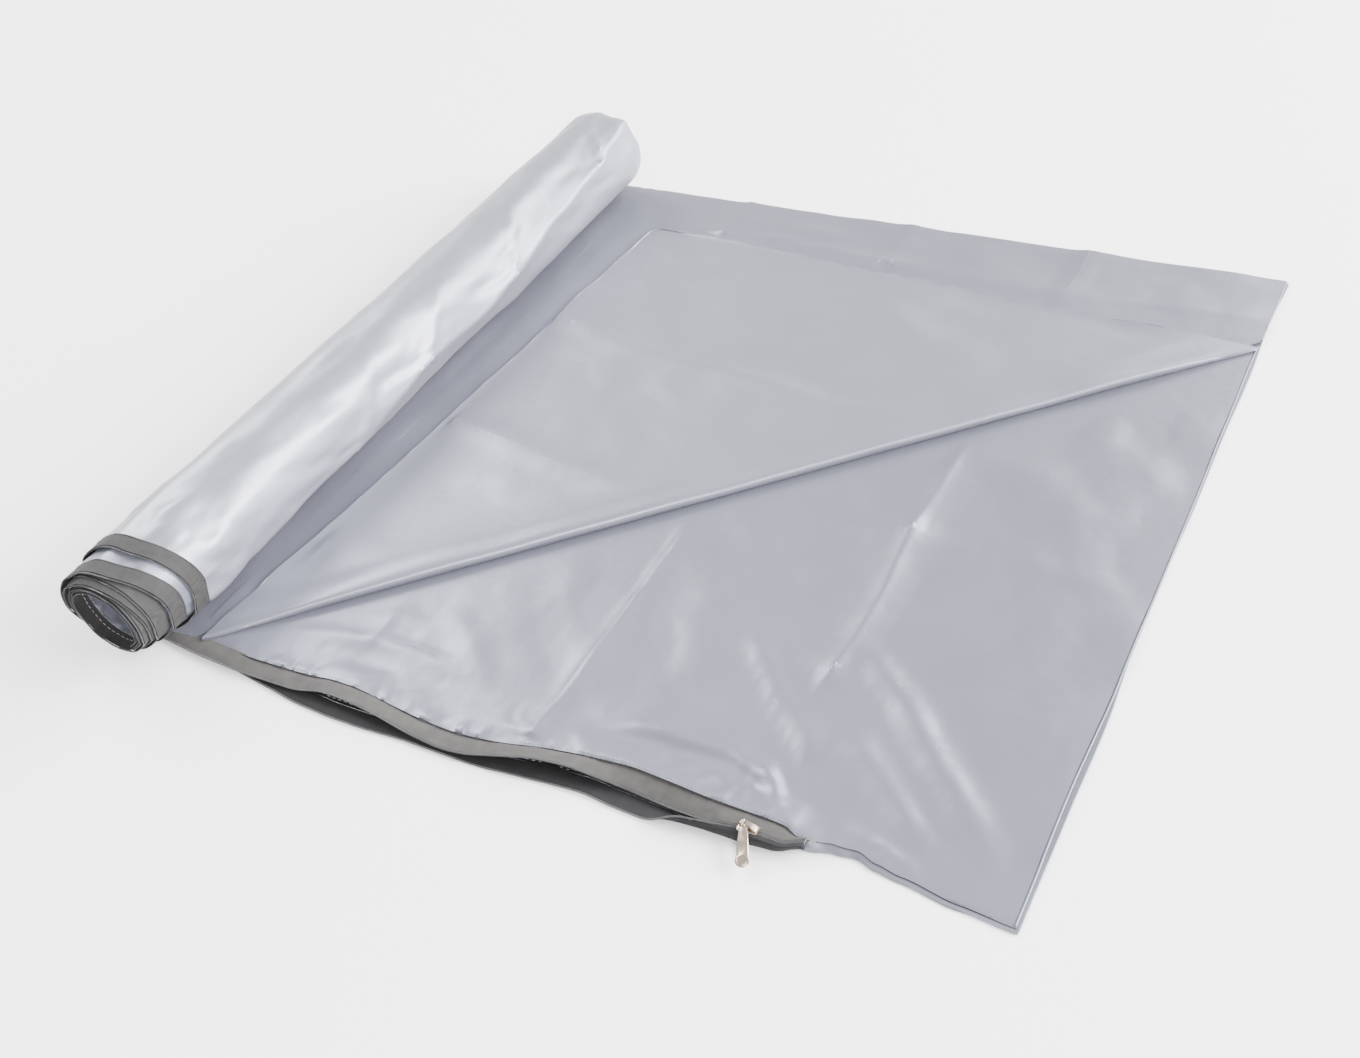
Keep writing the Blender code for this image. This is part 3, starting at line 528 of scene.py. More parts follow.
# packing creases, and long wrinkles from the crease nearer the foot edge to the near corner
NEAR_MARKS = [
    (crease, [(0.392, 0.012), (0.390, 0.11), (0.3925, 0.18), (0.3915, 0.31)], 0.0044, 0.011, 0.02, 0.2),
    (step, [(0.392, 0.012), (0.391, 0.30)], 0.0012, 0.010),
    (crease, FAR_CREASE, 0.0050, 0.011, 0.06, 0.15),
    (step, FAR_CREASE[:2], -0.0012, 0.012),
    (pinch, (0.2055, 0.338), 0.0020, 0.016, 3, 11),
    (pinch, (0.204, 0.168), 0.0016, 0.014, 3, 12),
    (pinch, (0.392, 0.180), 0.0014, 0.012, 2, 13),
    (crease, [(0.335, 0.336), (0.264, 0.329), (0.209, 0.334), (0.136, 0.333), (0.049, 0.326), (0, 0.33)],
     0.0018, 0.010),
    (crease, [(0.40, 0.176), (0.30, 0.172), (0.21, 0.168), (0.11, 0.170), (0.0, 0.172)], 0.0011, 0.010),
    (crease, [(0.60, 0.185), (0.585, 0.12), (0.578, 0.05)], 0.0020, 0.010),
    (wave, [(0.218, 0.205), (0.176, 0.186), (0.134, 0.148), (0.092, 0.104), (0.046, 0.062), (0.016, 0.040)],
     0.0052, 0.0135, 0.35, 0.22, 0.30),
    (wave, [(0.2, 0.176), (0.150, 0.137), (0.108, 0.102), (0.070, 0.072), (0.035, 0.045)],
     -0.0012, 0.008, 0.0, 0.2, 0.3),
    (wave, [(0.180, 0.115), (0.145, 0.095), (0.110, 0.066), (0.085, 0.044), (0.060, 0.030)],
     0.0036, 0.0105, 0.2, 0.25, 0.35),
    (wave, [(0.290, 0.200), (0.262, 0.158), (0.226, 0.118), (0.196, 0.094), (0.172, 0.066)],
     0.0042, 0.0120, -0.3, 0.3, 0.2),
    (wave, [(0.272, 0.146), (0.238, 0.104), (0.205, 0.076), (0.178, 0.052), (0.160, 0.034)],
     -0.0014, 0.0075, 0.0, 0.25, 0.2),
    (wave, [(0.120, 0.545), (0.084, 0.492), (0.044, 0.452), (0.010, 0.420)], 0.0030, 0.0300),
    (wave, [(0.170, 0.455), (0.110, 0.430), (0.060, 0.380)], 0.0018, 0.0220),
    (wave, [(0.345, 0.235), (0.325, 0.160), (0.300, 0.100)], 0.0022, 0.0200),
]
# wrinkles that fade out where the satin is held by the tape
HELD_MARKS = [
    (wave, [(0.355, 0.046), (0.300, 0.060), (0.245, 0.063), (0.208, 0.052), (0.185, 0.034)],
     0.0042, 0.0100, -0.35, 0.25, 0.2),
    (wave, [(0.215, 0.060), (0.197, 0.046), (0.190, 0.034), (0.178, 0.026)], 0.0024, 0.0060, 0.2),
    (wave, [(0.150, 0.022), (0.128, 0.027), (0.100, 0.022), (0.070, 0.014)], 0.0022, 0.0070, 0.1),
    (wave, [(0.560, 0.120), (0.500, 0.085), (0.450, 0.040)], 0.0030, 0.0150, 0.3),
    (wave, [(0.690, 0.030), (0.620, 0.052), (0.540, 0.060), (0.470, 0.054)], 0.0034, 0.0090, 0.4),
    (wave, [(0.640, 0.060), (0.570, 0.090), (0.520, 0.075)], 0.0020, 0.0080, -0.2),
]
GATHERS = [(0.15, 0.4), (0.19, 0.9), (0.24, 0.7), (0.30, 0.25), (0.40, 0.35), (0.43, 1.0), (0.53, 1.0),
           (0.585, 0.5), (0.63, 0.9), (0.70, 0.8)]


def near_z(d, v):
    """Height of the bottom half's upper panel: creases, wrinkles and the raised lip along the zip."""
    inside = v - satin_edge(d)
    held = fade(inside / 0.018)
    reach = 0.046 + 0.012 * np.sin(d * 19)
    z = SHEET_Z + (satin_z(d) - SHEET_Z) * (1 - fade(inside / reach)) ** 1.25
    z = z + relief(d, v, NEAR_MARKS) + held * relief(d, v, HELD_MARKS)
    # gathers along the tape's stitching
    ripple = noise(d / 0.0042 + 2.0 * noise(d / 0.03, v / 0.03, 3), v / 0.02, 21)
    broad = noise(d / 0.0105 + 3.0 * noise(d / 0.05, v / 0.04, 5), v / 0.035, 22)
    short = 0.0017 * ripple * np.exp(-inside / 0.0065) * fade(inside / 0.0012)
    longer = 0.0024 * broad * np.exp(-inside / 0.020) * fade(inside / 0.002)
    z = z + keyed(GATHERS, d) * (short + longer)
    # general softness
    z = z + held * (0.0019 * noise(d / 0.080, v / 0.090, 31) + 0.0009 * noise(d / 0.032, v / 0.036, 32)
                    + 0.0009 * noise((d - v) / 0.040, (d + v) / 0.17, 33)
                    + 0.00016 * noise(d / 0.011, v / 0.012, 34))
    z = SHEET_Z - 0.0003 + np.maximum(z - SHEET_Z + 0.0003, 0.0002)
    # flat where the corner fold lies on it
    open_here = fade(-fold_side(d, v) / 0.05)
    return SHEET_Z * (1 - open_here) + z * open_here


def build_near_half():
    """The bottom half's upper panel, the satin that shows in front of the corner fold."""
    ds = np.linspace(0.0024, FLAT + 0.004, 796)
    vs = spaced(0.0, 0.055, 0.030, 0.0011, 0.0016)
    vs = np.concatenate([vs, np.arange(0.0575, 0.70, 0.0031), np.linspace(0.705, WIDE - 0.0026, 5)])
    d, v = np.meshgrid(ds, vs, indexing="ij")
    edge = satin_edge(d)
    v = v + edge * (1 - fade((v - 0.01) / 0.09))
    z = near_z(d, v)
    z = np.where(v < edge + 0.0012, z - 0.0005 * (1 - (v - edge) / 0.0012), z)
    points = at(d, v, z)
    points[..., 0] += 0.0012 * noise(v / 0.11, d * 0, 41) * fade((0.03 - d) / 0.03)
    sheet = cloth("near_half", points, 0.00045, 3)
    dress(sheet, SATIN, "satin_silver", "inner_panel_floor")
    return sheet


WALL = -0.0071                                      # where the closed zip's lower tape stands
TURN_START, TURN_END = 0.198, 0.285                 # where it turns from standing to lying open


def tucked(d):
    """How far the lower tape's foot is drawn in under the zip's closed end."""
    return 0.0044 * (1 - fade((d - 0.160) / 0.018)) + 0.0018 * (1 - fade((d - 0.178) / 0.022))


def sewn_v(d):
    """The lower tape's sewn edge: drawn in under the closed zip, out along the open mouth."""
    opened = fade((d - TURN_START) / (TURN_END - TURN_START))
    return WALL + tucked(d) + (flowing(LOWER_SEWN, d) - GAP - WALL) * opened + chain_v(d) * (1 - opened)


def build_floor_half():
    """The bottom half's lower panel on the floor; its inner face is seen through the mouth."""
    ds = np.linspace(-0.0012, FLAT + 0.004, 190)
    vs = np.concatenate([np.arange(0, 0.05, 0.0022), np.linspace(0.052, WIDE - 0.0020, 60)])
    d, v = np.meshgrid(ds, vs, indexing="ij")
    plain = keyed(SEAM_LINE, d) - 0.0022 * fade((0.15 - d) / 0.02) - 0.0015
    share = fade((d - 0.146) / 0.012)
    under = 0.0020 * (1 - fade((d - TURN_START) / 0.03))
    edge = plain * (1 - share) + (sewn_v(d) + GAP + under) * share
    v = v + edge * (1 - fade((v - 0.006) / 0.05))
    z = 0.00085 + 0.0001 * noise(d / 0.05, v / 0.05, 51)
    points = at(d, v, z)
    points[..., 0] -= 0.0016 * noise(v / 0.09, d * 0, 42) * fade((0.02 - d) / 0.02)
    sheet = cloth("floor_half", points, 0.0007, 3)
    dress(sheet, SATIN, "satin_silver", "outer_panel_floor")
    return sheet


def build_mouth_lining():
    """The inner face of the lower panel where the open zip shows it: a dark glossy coating, painted darker
    still as the shade inside the narrow mouth.
    """
    ds = np.linspace(0.215, 0.745, 330)
    across = np.linspace(0, 1, 31)
    d, share = np.meshgrid(ds, across, indexing="ij")
    start, end = sewn_v(d) + 0.0002, 0.034 - 0.010 * fade((d - 0.62) / 0.08)
    v = start + (end - start) * share
    open_here = fade((d - 0.215) / 0.03) * fade((0.745 - d) / 0.05)
    share_in = np.clip((v - flowing(UPPER_V, d)) / (satin_edge(d) - flowing(UPPER_V, d)), 0, 1)
    tape_low = flowing(UPPER_Z, d) * (1 - share_in) + flowing(SATIN_Z, d) * share_in
    room = np.minimum(near_z(d, np.maximum(v, satin_edge(d) + 0.001)), tape_low) - 0.0026
    lift = (0.0010 * (1 + noise(d / 0.016, v / 0.007, 61)) * fade(share / 0.12)
            + 0.0005 * noise(d / 0.006, v / 0.004, 62) * fade(share / 0.1))
    z = 0.0013 + open_here * np.clip(lift, 0, np.maximum(room, 0))
    sheet = cloth("mouth_lining", at(d, v, z), 0.0003, 3)
    # the lining's colour carries painted shade of the narrow mouth
    dress(sheet, LINING_PAINTED_SHADE, "satin_silver")
    return sheet


# ---------------------------------------------------------------- the top half


def fold_side(d, v):
    """Distance from the corner fold's line, positive on the far side."""
    return ((d - FOLD_D) * FOLD_V + v * FOLD_D) / FOLD_LENGTH


def flap_share(d, v):
    """How far a point lies inside the folded corner's outline, 0 at its edges."""
    ux, uv = -FOLD_D / FOLD_LENGTH, FOLD_V / FOLD_LENGTH
    along = (d - FOLD_D) * ux + v * uv
    deep = fold_side(d, v)
    left = along - deep * FOLD_D / FOLD_V
    right = (FOLD_LENGTH - along) - deep * FOLD_V / FOLD_D
    return np.minimum(left * math.sin(math.atan2(FOLD_V, FOLD_D)),
                      right * math.sin(math.atan2(FOLD_D, FOLD_V)))


TOP_MARKS = [mark for place in (0.196, 0.3925, 0.589) for mark in (
    (crease, [(place + 0.004, 0.70), (place - 0.002, 0.75), (place, 0.80)], 0.0022, 0.007, 0, 0),
    (step, [(place + 0.004, 0.70), (place, 0.80)], 0.0007, 0.008, 0, 0),
)] + [
    (crease, [(0.70, 0.705), (0.62, 0.7235), (0.52, 0.7275), (0.44, 0.724), (0.3725, 0.717)],
     0.0042, 0.010, 0.2, 0.04),
    (pinch, (0.372, 0.719), 0.0024, 0.014, 3, 14),
    (wave, [(0.60, 0.760), (0.50, 0.757), (0.42, 0.752)], 0.0016, 0.012),
    (crease, [(0.34, 0.722), (0.25, 0.716), (0.19, 0.713), (0.10, 0.722), (0.0, 0.725)], 0.0014, 0.012),
]


def top_z(d, v):
    """Height of the top half: flat under the flap, creased and softly wrinkled beyond it."""
    soft = (relief(d, v, TOP_MARKS) + 0.0011 * noise(d / 0.06, v / 0.04, 71)
            + 0.0004 * noise(d / 0.022, v / 0.02, 72))
    by_roll = 0.0016 * noise(d / 0.012, v / 0.11, 73) + 0.0008 * noise(d / 0.007, v / 0.05, 74)
    soft = soft + fade((d - 0.690) / 0.03) * by_roll
    return 0.0039 + np.maximum(soft, -0.0010) * fade(-flap_share(d, v) / 0.012)


def build_top_half():
    """The top half's outer panel beyond the corner fold, and its bend round the far edge."""
    ds = np.linspace(0.0010, FLAT + 0.004, 259)
    shares = np.linspace(0, 1, 151)
    d, share = np.meshgrid(ds, shares, indexing="ij")
    start = np.maximum(FOLD_V * (1 - d / FOLD_D) + 0.0085 / (FOLD_D / FOLD_LENGTH), 0.0)
    end = WIDE - 0.0024
    bend = math.pi * np.clip((share - 0.93) / 0.07, 0, 1)
    flat_share = np.clip(share / 0.93, 0, 1)
    v = start + (end - start) * (1 - (1 - flat_share) ** 1.35)
    z = top_z(d, v)
    radius = (z - 0.0012) / 2
    rounded = share > 0.93
    v = np.where(rounded, end + radius * np.sin(bend), v)
    z = np.where(rounded, z - radius * (1 - np.cos(bend)), z)
    points = at(d, v, z)
    points[..., 0] += 0.0010 * noise(v / 0.07, d * 0, 43) * fade((0.03 - d) / 0.03)
    sheet = cloth("top_half", points, 0.00045, 3)
    dress(sheet, SATIN, "satin_silver", "outer_panel_top", "inner_panel_top", "outer_panel_far_fold",
          "inner_panel_far_fold")
    return sheet


# ---------------------------------------------------------------- the folded corner
FLAP_Z = 0.0066
ALONG = Vector((FOLD_D / FOLD_LENGTH, FOLD_V / FOLD_LENGTH, 0))
INWARD = Vector((-ALONG.y, ALONG.x, 0))
FOLD_START = Vector((FOOT - FOLD_D, NEAR, 0))


def fold_radius(s):
    """The fat fold's roundness along its length: slimmer towards both ends."""
    slimmer = ((0.40 + 0.60 * fade((s - 0.004) / 0.17))
               * (0.36 + 0.64 * fade((FOLD_LENGTH - 0.004 - s) / 0.16)))
    return 0.0056 * slimmer * (1 + 0.05 * np.sin(s * 23) + 0.03 * np.sin(s * 61 + 1))


FLAP_MARKS = [
    (crease, [(0.684, 0.521), (0.666, 0.521), (0.591, 0.500), (0.479, 0.490), (0.382, 0.479), (0.317, 0.475),
              (0.235, 0.487)], 0.0042, 0.0135, 0.01, 0.15),
    (step, [(0.684, 0.521), (0.591, 0.500), (0.382, 0.479), (0.25, 0.482)], 0.0018, 0.014),
    (crease, [(0.690, 0.334), (0.650, 0.328), (0.556, 0.308), (0.474, 0.299), (0.381, 0.309)],
     0.0040, 0.0135, 0.01, 0.15),
    (crease, [(0.697, 0.138), (0.633, 0.132), (0.591, 0.139)], 0.0026, 0.009, 0.01, 0.2),
    (pinch, (0.474, 0.300), 0.0010, 0.014, 2, 15),
    (wave, [(0.60, 0.70), (0.52, 0.640), (0.44, 0.600), (0.33, 0.590)], 0.0020, 0.030),
    (wave, [(0.40, 0.66), (0.30, 0.600), (0.20, 0.580)], 0.0016, 0.024),
    (wave, [(0.205, 0.665), (0.110, 0.640), (0.040, 0.650)], 0.0018, 0.014),
    (wave, [(0.672, 0.655), (0.645, 0.640), (0.612, 0.640)], 0.0014, 0.005),
    (wave, [(0.668, 0.620), (0.640, 0.606), (0.610, 0.604)], 0.0014, 0.005),
]


def flap_relief(s, deep):
    """Creases and softness of the flap, from places along its fold and in from it."""
    d = FOLD_D - s * FOLD_D / FOLD_LENGTH + deep * FOLD_V / FOLD_LENGTH
    v = s * FOLD_V / FOLD_LENGTH + deep * FOLD_D / FOLD_LENGTH
    return (relief(d, v, FLAP_MARKS) + 0.0022 * noise(d / 0.085, v / 0.07, 81)
            + 0.0010 * noise(d / 0.034, v / 0.030, 82) + 0.00014 * noise(d / 0.011, v / 0.012, 84))


def flap_section(run, radius, lowest, highest, skin):
    """Across-the-fold position and height at a run along the cloth's path; run starts under the fold."""
    lead = 0.010
    arc = math.pi * radius
    angle = np.clip((run - lead) / arc, 0, 1) * math.pi
    past = np.maximum(run - lead - arc, 0)
    before = np.maximum(lead - run, 0)
    across = skin + radius + before - radius * np.sin(angle) + past
    up = lowest + radius * (1 - np.cos(angle))
    top = lowest + 2 * radius
    settle = 1 - np.exp(-(past / 0.033) ** 1.9)
    return across, np.where(past > 0, top + (highest - top) * settle, up)


def flap_grid(lowest, highest, skin, inset, lift):
    """Points of one of the flap's two sheets."""
    columns = 331
    runs = np.concatenate([np.linspace(0, 0.010, 4)[:-1], np.linspace(0.010, 0.0254, 20)[:-1],
                           np.linspace(0.0254, 0.060, 20)[:-1], np.linspace(0.060, 0.5000, 145)])
    share = np.linspace(0, 1, columns)
    share, run = np.meshgrid(share, runs, indexing="ij")
    radius_mid = fold_radius(share * FOLD_LENGTH) - skin
    across, _ = flap_section(run, radius_mid, 0, 0, skin)
    deep = np.maximum(across, 0.0)
    limit = FOLD_D * FOLD_V / FOLD_LENGTH - inset * 1.5
    deep = np.minimum(deep, limit)
    left = deep * FOLD_D / FOLD_V + inset \
        + 0.0016 * (1 + noise(deep / 0.035, deep * 0, 86)) * fade(deep / 0.04)
    right = FOLD_LENGTH - deep * FOLD_V / FOLD_D - inset \
        - 0.0014 * (1 + noise(deep / 0.05, deep * 0, 87)) * fade(deep / 0.04)
    s = left + (right - left) * share
    radius = fold_radius(s) - skin
    across, z = flap_section(run, radius, lowest, highest, skin)
    across = np.minimum(across, limit)
    settled = fade((across - 0.030) / 0.05)
    z = z + settled * np.maximum(flap_relief(s, across), -0.0004)
    z = z + 0.0016 * noise(s / 0.10, across * 0 + run / 0.05, 83) * fade((run - 0.012) / 0.01) * (1 - settled)
    z = z + 0.0009 * noise(s / 0.16 + 3, run / 0.0085, 85) * fade((run - 0.012) / 0.008) * (1 - settled)
    edge_away = np.minimum(share, 1 - share) * (right - left)
    z = z + 0.0014 * np.exp(-edge_away / 0.006) * settled * lift
    points = (np.array(FOLD_START)[None, None, :] + s[..., None] * np.array(ALONG)
              + across[..., None] * np.array(INWARD))
    points[..., 2] = z
    return points


def build_flap():
    """The folded corner: its face and its back, both going round the fold into the top half."""
    face = flap_grid(0.0024, FLAP_Z, 0.0, 0.0007, 1.0)
    sheet = cloth("flap_face", face, 0.00045, 3, flip=True, body=None)
    # the flap's face takes the satin copy painted lighter for the light on it
    dress(sheet, SATIN_PAINTED_LIT_FLAP, "satin_silver", "flap_inner_panel", "flap_fold")
    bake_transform(sheet)
    back = flap_grid(0.0036, FLAP_Z - 0.0009, 0.0012, 0.0010, 0.8)
    under = cloth("flap_back", back, 0.00045, 3, flip=True, body=None)
    dress(under, SATIN, "satin_silver", "flap_outer_panel")
    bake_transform(under)
    return face


def build_flap_hem(face):
    """The sewn edges of the flap, a soft double roll of cloth."""
    first = face[0, 42:, :]
    last = face[-1, 42:, :]
    path = np.concatenate([first, last[::-1]])
    keep = np.concatenate(([True], np.linalg.norm(np.diff(path, axis=0), axis=1) > 0.0008))
    path = path[keep]
    path[:, 2] -= 0.00055
    radius = 0.00105 + 0.00015 * np.sin(np.arange(len(path)) * 0.7)
    hem = tube("flap_hem", path, radius, 8, body="corner_flap")
    dress(hem, SATIN, "satin_silver", "flap_foot_seam", "flap_long_seam")


# ---------------------------------------------------------------- hems
def build_hems():
    """The foot edges' hems and the plain seam from the near corner to the zip's end."""
    vs = np.arange(0.002, FOLD_V + 0.012, 0.004)
    d = 0.0010 + 0 * vs
    path = at(d, vs, near_z(d, vs) - 0.0003)
    path[:, 0] += 0.0012 * noise(vs / 0.11, vs * 0, 41)
    upper = tube("foot_hem", path, 0.00085, 8)
    dress(upper, SATIN, "satin_silver", "foot_seam_floor")
    vs = np.arange(0.0, WIDE - 0.004, 0.005)
    path = at(-0.0006 + 0 * vs, vs, 0.0009 + 0 * vs)
    path[:, 0] -= 0.0016 * noise(vs / 0.09, vs * 0, 42) - 0.0004
    lower = tube("foot_hem_lower", path, 0.00075, 8)
    dress(lower, SATIN, "satin_silver")
    vs = np.arange(FOLD_V + 0.014, WIDE - 0.004, 0.004)
    d = 0.0004 + 0 * vs
    path = at(d, vs, top_z(d, vs) - 0.0004)
    path[:, 0] += 0.0010 * noise(vs / 0.07, vs * 0, 43)
    top = tube("foot_hem_top", path, 0.0009, 8)
    dress(top, SATIN, "satin_silver", "foot_seam_top")

    # the lower panel's turned-up edge under the plain seam
    ds = np.linspace(0.0, STITCH_D + 0.004, 110)
    across = np.linspace(0, 1, 10)
    d, share = np.meshgrid(ds, across, indexing="ij")
    seam_v, seam_z = keyed(SEAM_LINE, d), keyed(SEAM_Z, d)
    foot_v = seam_v - 0.0030 * fade(d / 0.05) - 0.0016
    v = foot_v + (seam_v - foot_v) * share ** 1.4 - 0.0010 * np.sin(math.pi * share) * fade(d / 0.08)
    z = 0.0009 + (seam_z - 0.0012) * share
    v = v + 0.0006 * noise(d / 0.008, share / 0.5, 91) * np.sin(math.pi * share)
    strip = cloth("near_upturn", at(d, v, z), 0.0004, 3, flip=True)
    dress(strip, SATIN, "satin_silver", "near_seam")
    ds = np.arange(0.0, STITCH_D, 0.0012)
    path = at(ds, keyed(SEAM_LINE, ds) - 0.0002, keyed(SEAM_Z, ds) + 0.0001)
    line = tube("near_seam_thread", path, 0.00036 + 0.00010 * np.sin(ds * 3100), 5)
    dress(line, NEEDLE, "thread_grey")


# ---------------------------------------------------------------- the zip along the flat part
LEVEL_PART = 0.0039


def lower_tape(ds):
    """Sewn edge, knee and coil edge of the lower tape, with the way its inner face looks."""
    rows, looks = [], []
    for d in ds:
        opened = float(fade((d - TURN_START) / (TURN_END - TURN_START)))
        stand = math.pi / 2 * (1 + opened ** 0.65)
        bend = math.pi / 2 * (1 - float(fade((opened - 0.55) / 0.45)))
        sunk = 1 - 0.12 * math.sin(math.pi * min(1.0, 3 * opened))
        closed_top = ZIP_Z + 0.0004
        height = (closed_top + (TAPE - GAP - LEVEL_PART - closed_top) * opened) * sunk
        sewn = np.array([float(sewn_v(d)), 0.0009 * (1 - opened)])
        knee = (np.array([sewn[0] - float(tucked(d)) * 1.1, sewn[1]])
                + height * np.array([math.cos(stand), math.sin(stand)]))
        edge = knee + LEVEL_PART * np.array([math.cos(stand - bend), math.sin(stand - bend)])
        mids = (sewn + knee) / 2 + np.array([-0.0012, 0.0]) * (1 - opened)
        rows.append([sewn, mids, knee, knee * 0.5 + edge * 0.5 + np.array([0, 0.0003]) * (1 - opened), edge])
        face = stand - bend - math.pi / 2
        looks.append((math.cos(face), math.sin(face), math.cos(stand - bend), math.sin(stand - bend)))
    return np.array(rows), np.array(looks)


def build_zip():
    """Both tapes, their coils, the needle lines and the rows of stitching on the flat part."""
    ds = np.concatenate([np.linspace(STITCH_D - 0.001, 0.26, 90)[:-1], np.linspace(0.26, FLAT + 0.003, 240)])
    rows, looks = lower_tape(ds)
    fine = np.zeros((len(ds), 16, 2))
    stops = np.linspace(0, 4, 16)
    for k in range(2):
        for i in range(len(ds)):
            fine[i, :, k] = np.interp(stops, range(5), rows[i, :, k])
    flat_part = fade((ds - 0.245) / 0.02)[:, None]
    d2 = ds[:, None] + 0 * fine[:, :, 0]
    swell = 0.0007 * noise(d2 / 0.03, fine[:, :, 0] / 0.01, 101) * flat_part + 0.0009 * flat_part
    points = at(d2, fine[:, :, 0], fine[:, :, 1] + swell + 0.0003)
    tape = cloth("tape_lower", points, 0.0005, 3)
    # the lower tape takes the tape colour painted dark as the mouth's shade
    dress(tape, TAPE_PAINTED_MOUTH_SHADE, "tape_grey", "zip_tape_lower", "zip_tape_lower_turn")
    edge = points[:, -1, :]
    side = np.stack([0 * ds, looks[:, 2], looks[:, 3]], -1)
    face = np.stack([0 * ds, looks[:, 0], looks[:, 1]], -1)
    lower_coil = coil("coil_lower", edge + side * 0.0011 + face * 0.0004, side, face)
    # the coils' turns take the nylon colour painted pale as their highlight
    dress(lower_coil, COIL_PAINTED_HIGHLIGHT, "coil_dark", "zip_coil_lower", "zip_coil_lower_turn")
    rim = tube("coil_cord_lower", edge + side * 0.0012 + face * 0.0003, 0.00052, 5)
    dress(rim, COIL_DARK, "coil_dark")

    v_sat, z_sat = satin_edge(ds) + 0.0022, satin_z(ds) - 0.0014
    closing = 1 - fade((ds - 0.175) / 0.030)
    v_coil = flowing(UPPER_V, ds) * (1 - closing) + (chain_v(ds) + CHAIN_EDGE) * closing
    z_coil = flowing(UPPER_Z, ds)
    v_coil = np.minimum(v_coil, v_sat - 0.0008)
    share = np.linspace(0, 1, 13)
    v = v_coil[:, None] + (v_sat - v_coil)[:, None] * share[None, :]
    d2 = ds[:, None] + 0 * v
    flat_z = z_coil[:, None] * (1 - share) + z_sat[:, None] * share
    bowed = 0.0007 * np.sin(math.pi * share)[None, :] + 0.0003 * noise(d2 / 0.012, v / 0.01, 102)
    points = at(d2, v, flat_z + bowed + 0.0004)
    upper = cloth("tape_upper", points, 0.0005, 3, flip=True)
    dress(upper, TAPE_LIGHT, "tape_grey", "zip_tape_upper", "zip_tape_upper_slope")
    centre = at(ds, v_coil - COIL / 2 - 0.0001, z_coil + 0.0004)
    out = np.stack([0 * ds, -np.ones(len(ds)), 0 * ds], -1)
    up = np.stack([0 * ds, 0 * ds, np.ones(len(ds))], -1)
    upper_coil = coil("coil_upper", centre, out, up)
    dress(upper_coil, COIL_PAINTED_HIGHLIGHT, "coil_dark", "zip_coil_upper", "zip_coil_upper_slope")
    core = tube("coil_cord_upper", centre, 0.0005, 5)
    dress(core, COIL_DARK, "coil_dark")

    # the needle line where the satin meets the tape, and the dotted row just inside it
    fine_d = np.arange(STITCH_D + 0.001, FLAT, 0.0016)
    edge_v = satin_edge(fine_d)
    path = at(fine_d, edge_v - 0.0001, near_z(fine_d, edge_v + 0.0003) + 0.0004)
    needle = tube("needle_line_upper", path, 0.00042 + 0.00012 * np.sin(fine_d * 2400), 5)
    dress(needle, NEEDLE, "thread_grey", "tape_stitching_upper")
    path = at(fine_d, edge_v + 0.0026, near_z(fine_d, edge_v + 0.0026))
    row = stitches("satin_stitches", path, 0.0021, 0.0015, rise=0.0004)
    dress(row, THREAD, "thread_grey")
    fine_d = np.arange(0.258, 0.735, 0.0016)
    path = at(fine_d, sewn_v(fine_d) + 0.0020, 0.0020 + 0 * fine_d)
    path[:, 2] += 0.0007 * noise(fine_d / 0.02, fine_d * 0, 103)
    path[:, 1] += 0.0010 * noise(fine_d / 0.013, fine_d * 0, 104)
    lower_row = stitches("tape_stitches_lower", path, 0.0034, 0.0026, 0.00030)
    dress(lower_row, PALE_THREAD, "thread_grey", "tape_stitching_lower")
    part = path[:80].copy()
    part[:, 1] += 0.0052
    part[:, 2] += 0.0006
    second = stitches("overlock_stitches", part, 0.0030, 0.0030, 0.00028)
    dress(second, THREAD, "thread_grey")


def build_zip_ends():
    """The moulded bottom stop and the sewn bar tack with its crossed threads."""
    d = STITCH_D - 0.0008
    centre = at(d, chain_v(d) - 0.0004, ZIP_Z + 0.0002)
    path = [centre + np.array([0, s, 0.0003 * math.cos(s * 900)]) for s in np.linspace(-0.0028, 0.0028, 9)]
    stop = tube("bottom_stop", path, 0.0009, 8)
    dress(stop, COIL_DARK, "slider_metal", "zip_bottom_stop")
    threads = []
    rng = np.random.RandomState(7)
    for k in range(11):
        lean = 0.0022 if k % 2 else -0.0022
        v = float(chain_v(d)) - 0.0010 + 0.00042 * k
        x = d - 0.0042 + 0.0008 * rng.uniform(-1, 1)
        ends_v = (v, v + 0.0006)
        height = float(near_z(np.array(x), np.array(max(v, 0.0092)))) + 0.0002
        path = [at(x - lean + 2 * lean * s, ends_v[0] + (ends_v[1] - ends_v[0]) * s,
                   height + 0.0003 * math.sin(math.pi * s))
                for s in np.linspace(0, 1, 6)]
        threads.append(np.array(path))
    tack = tubes("bar_tack_threads", threads, 0.00024, 5)
    dress(tack, THREAD, "thread_grey", "bar_tack")


# ---------------------------------------------------------------- the roll
ROLL_CREASE = [(0.0, -25), (0.10, -27), (0.209, -24), (0.256, -23), (0.305, -8), (0.36, 3), (0.446, -7),
               (0.516, 5), (0.617, 21), (0.713, 31), (0.755, 43), (0.80, 50)]


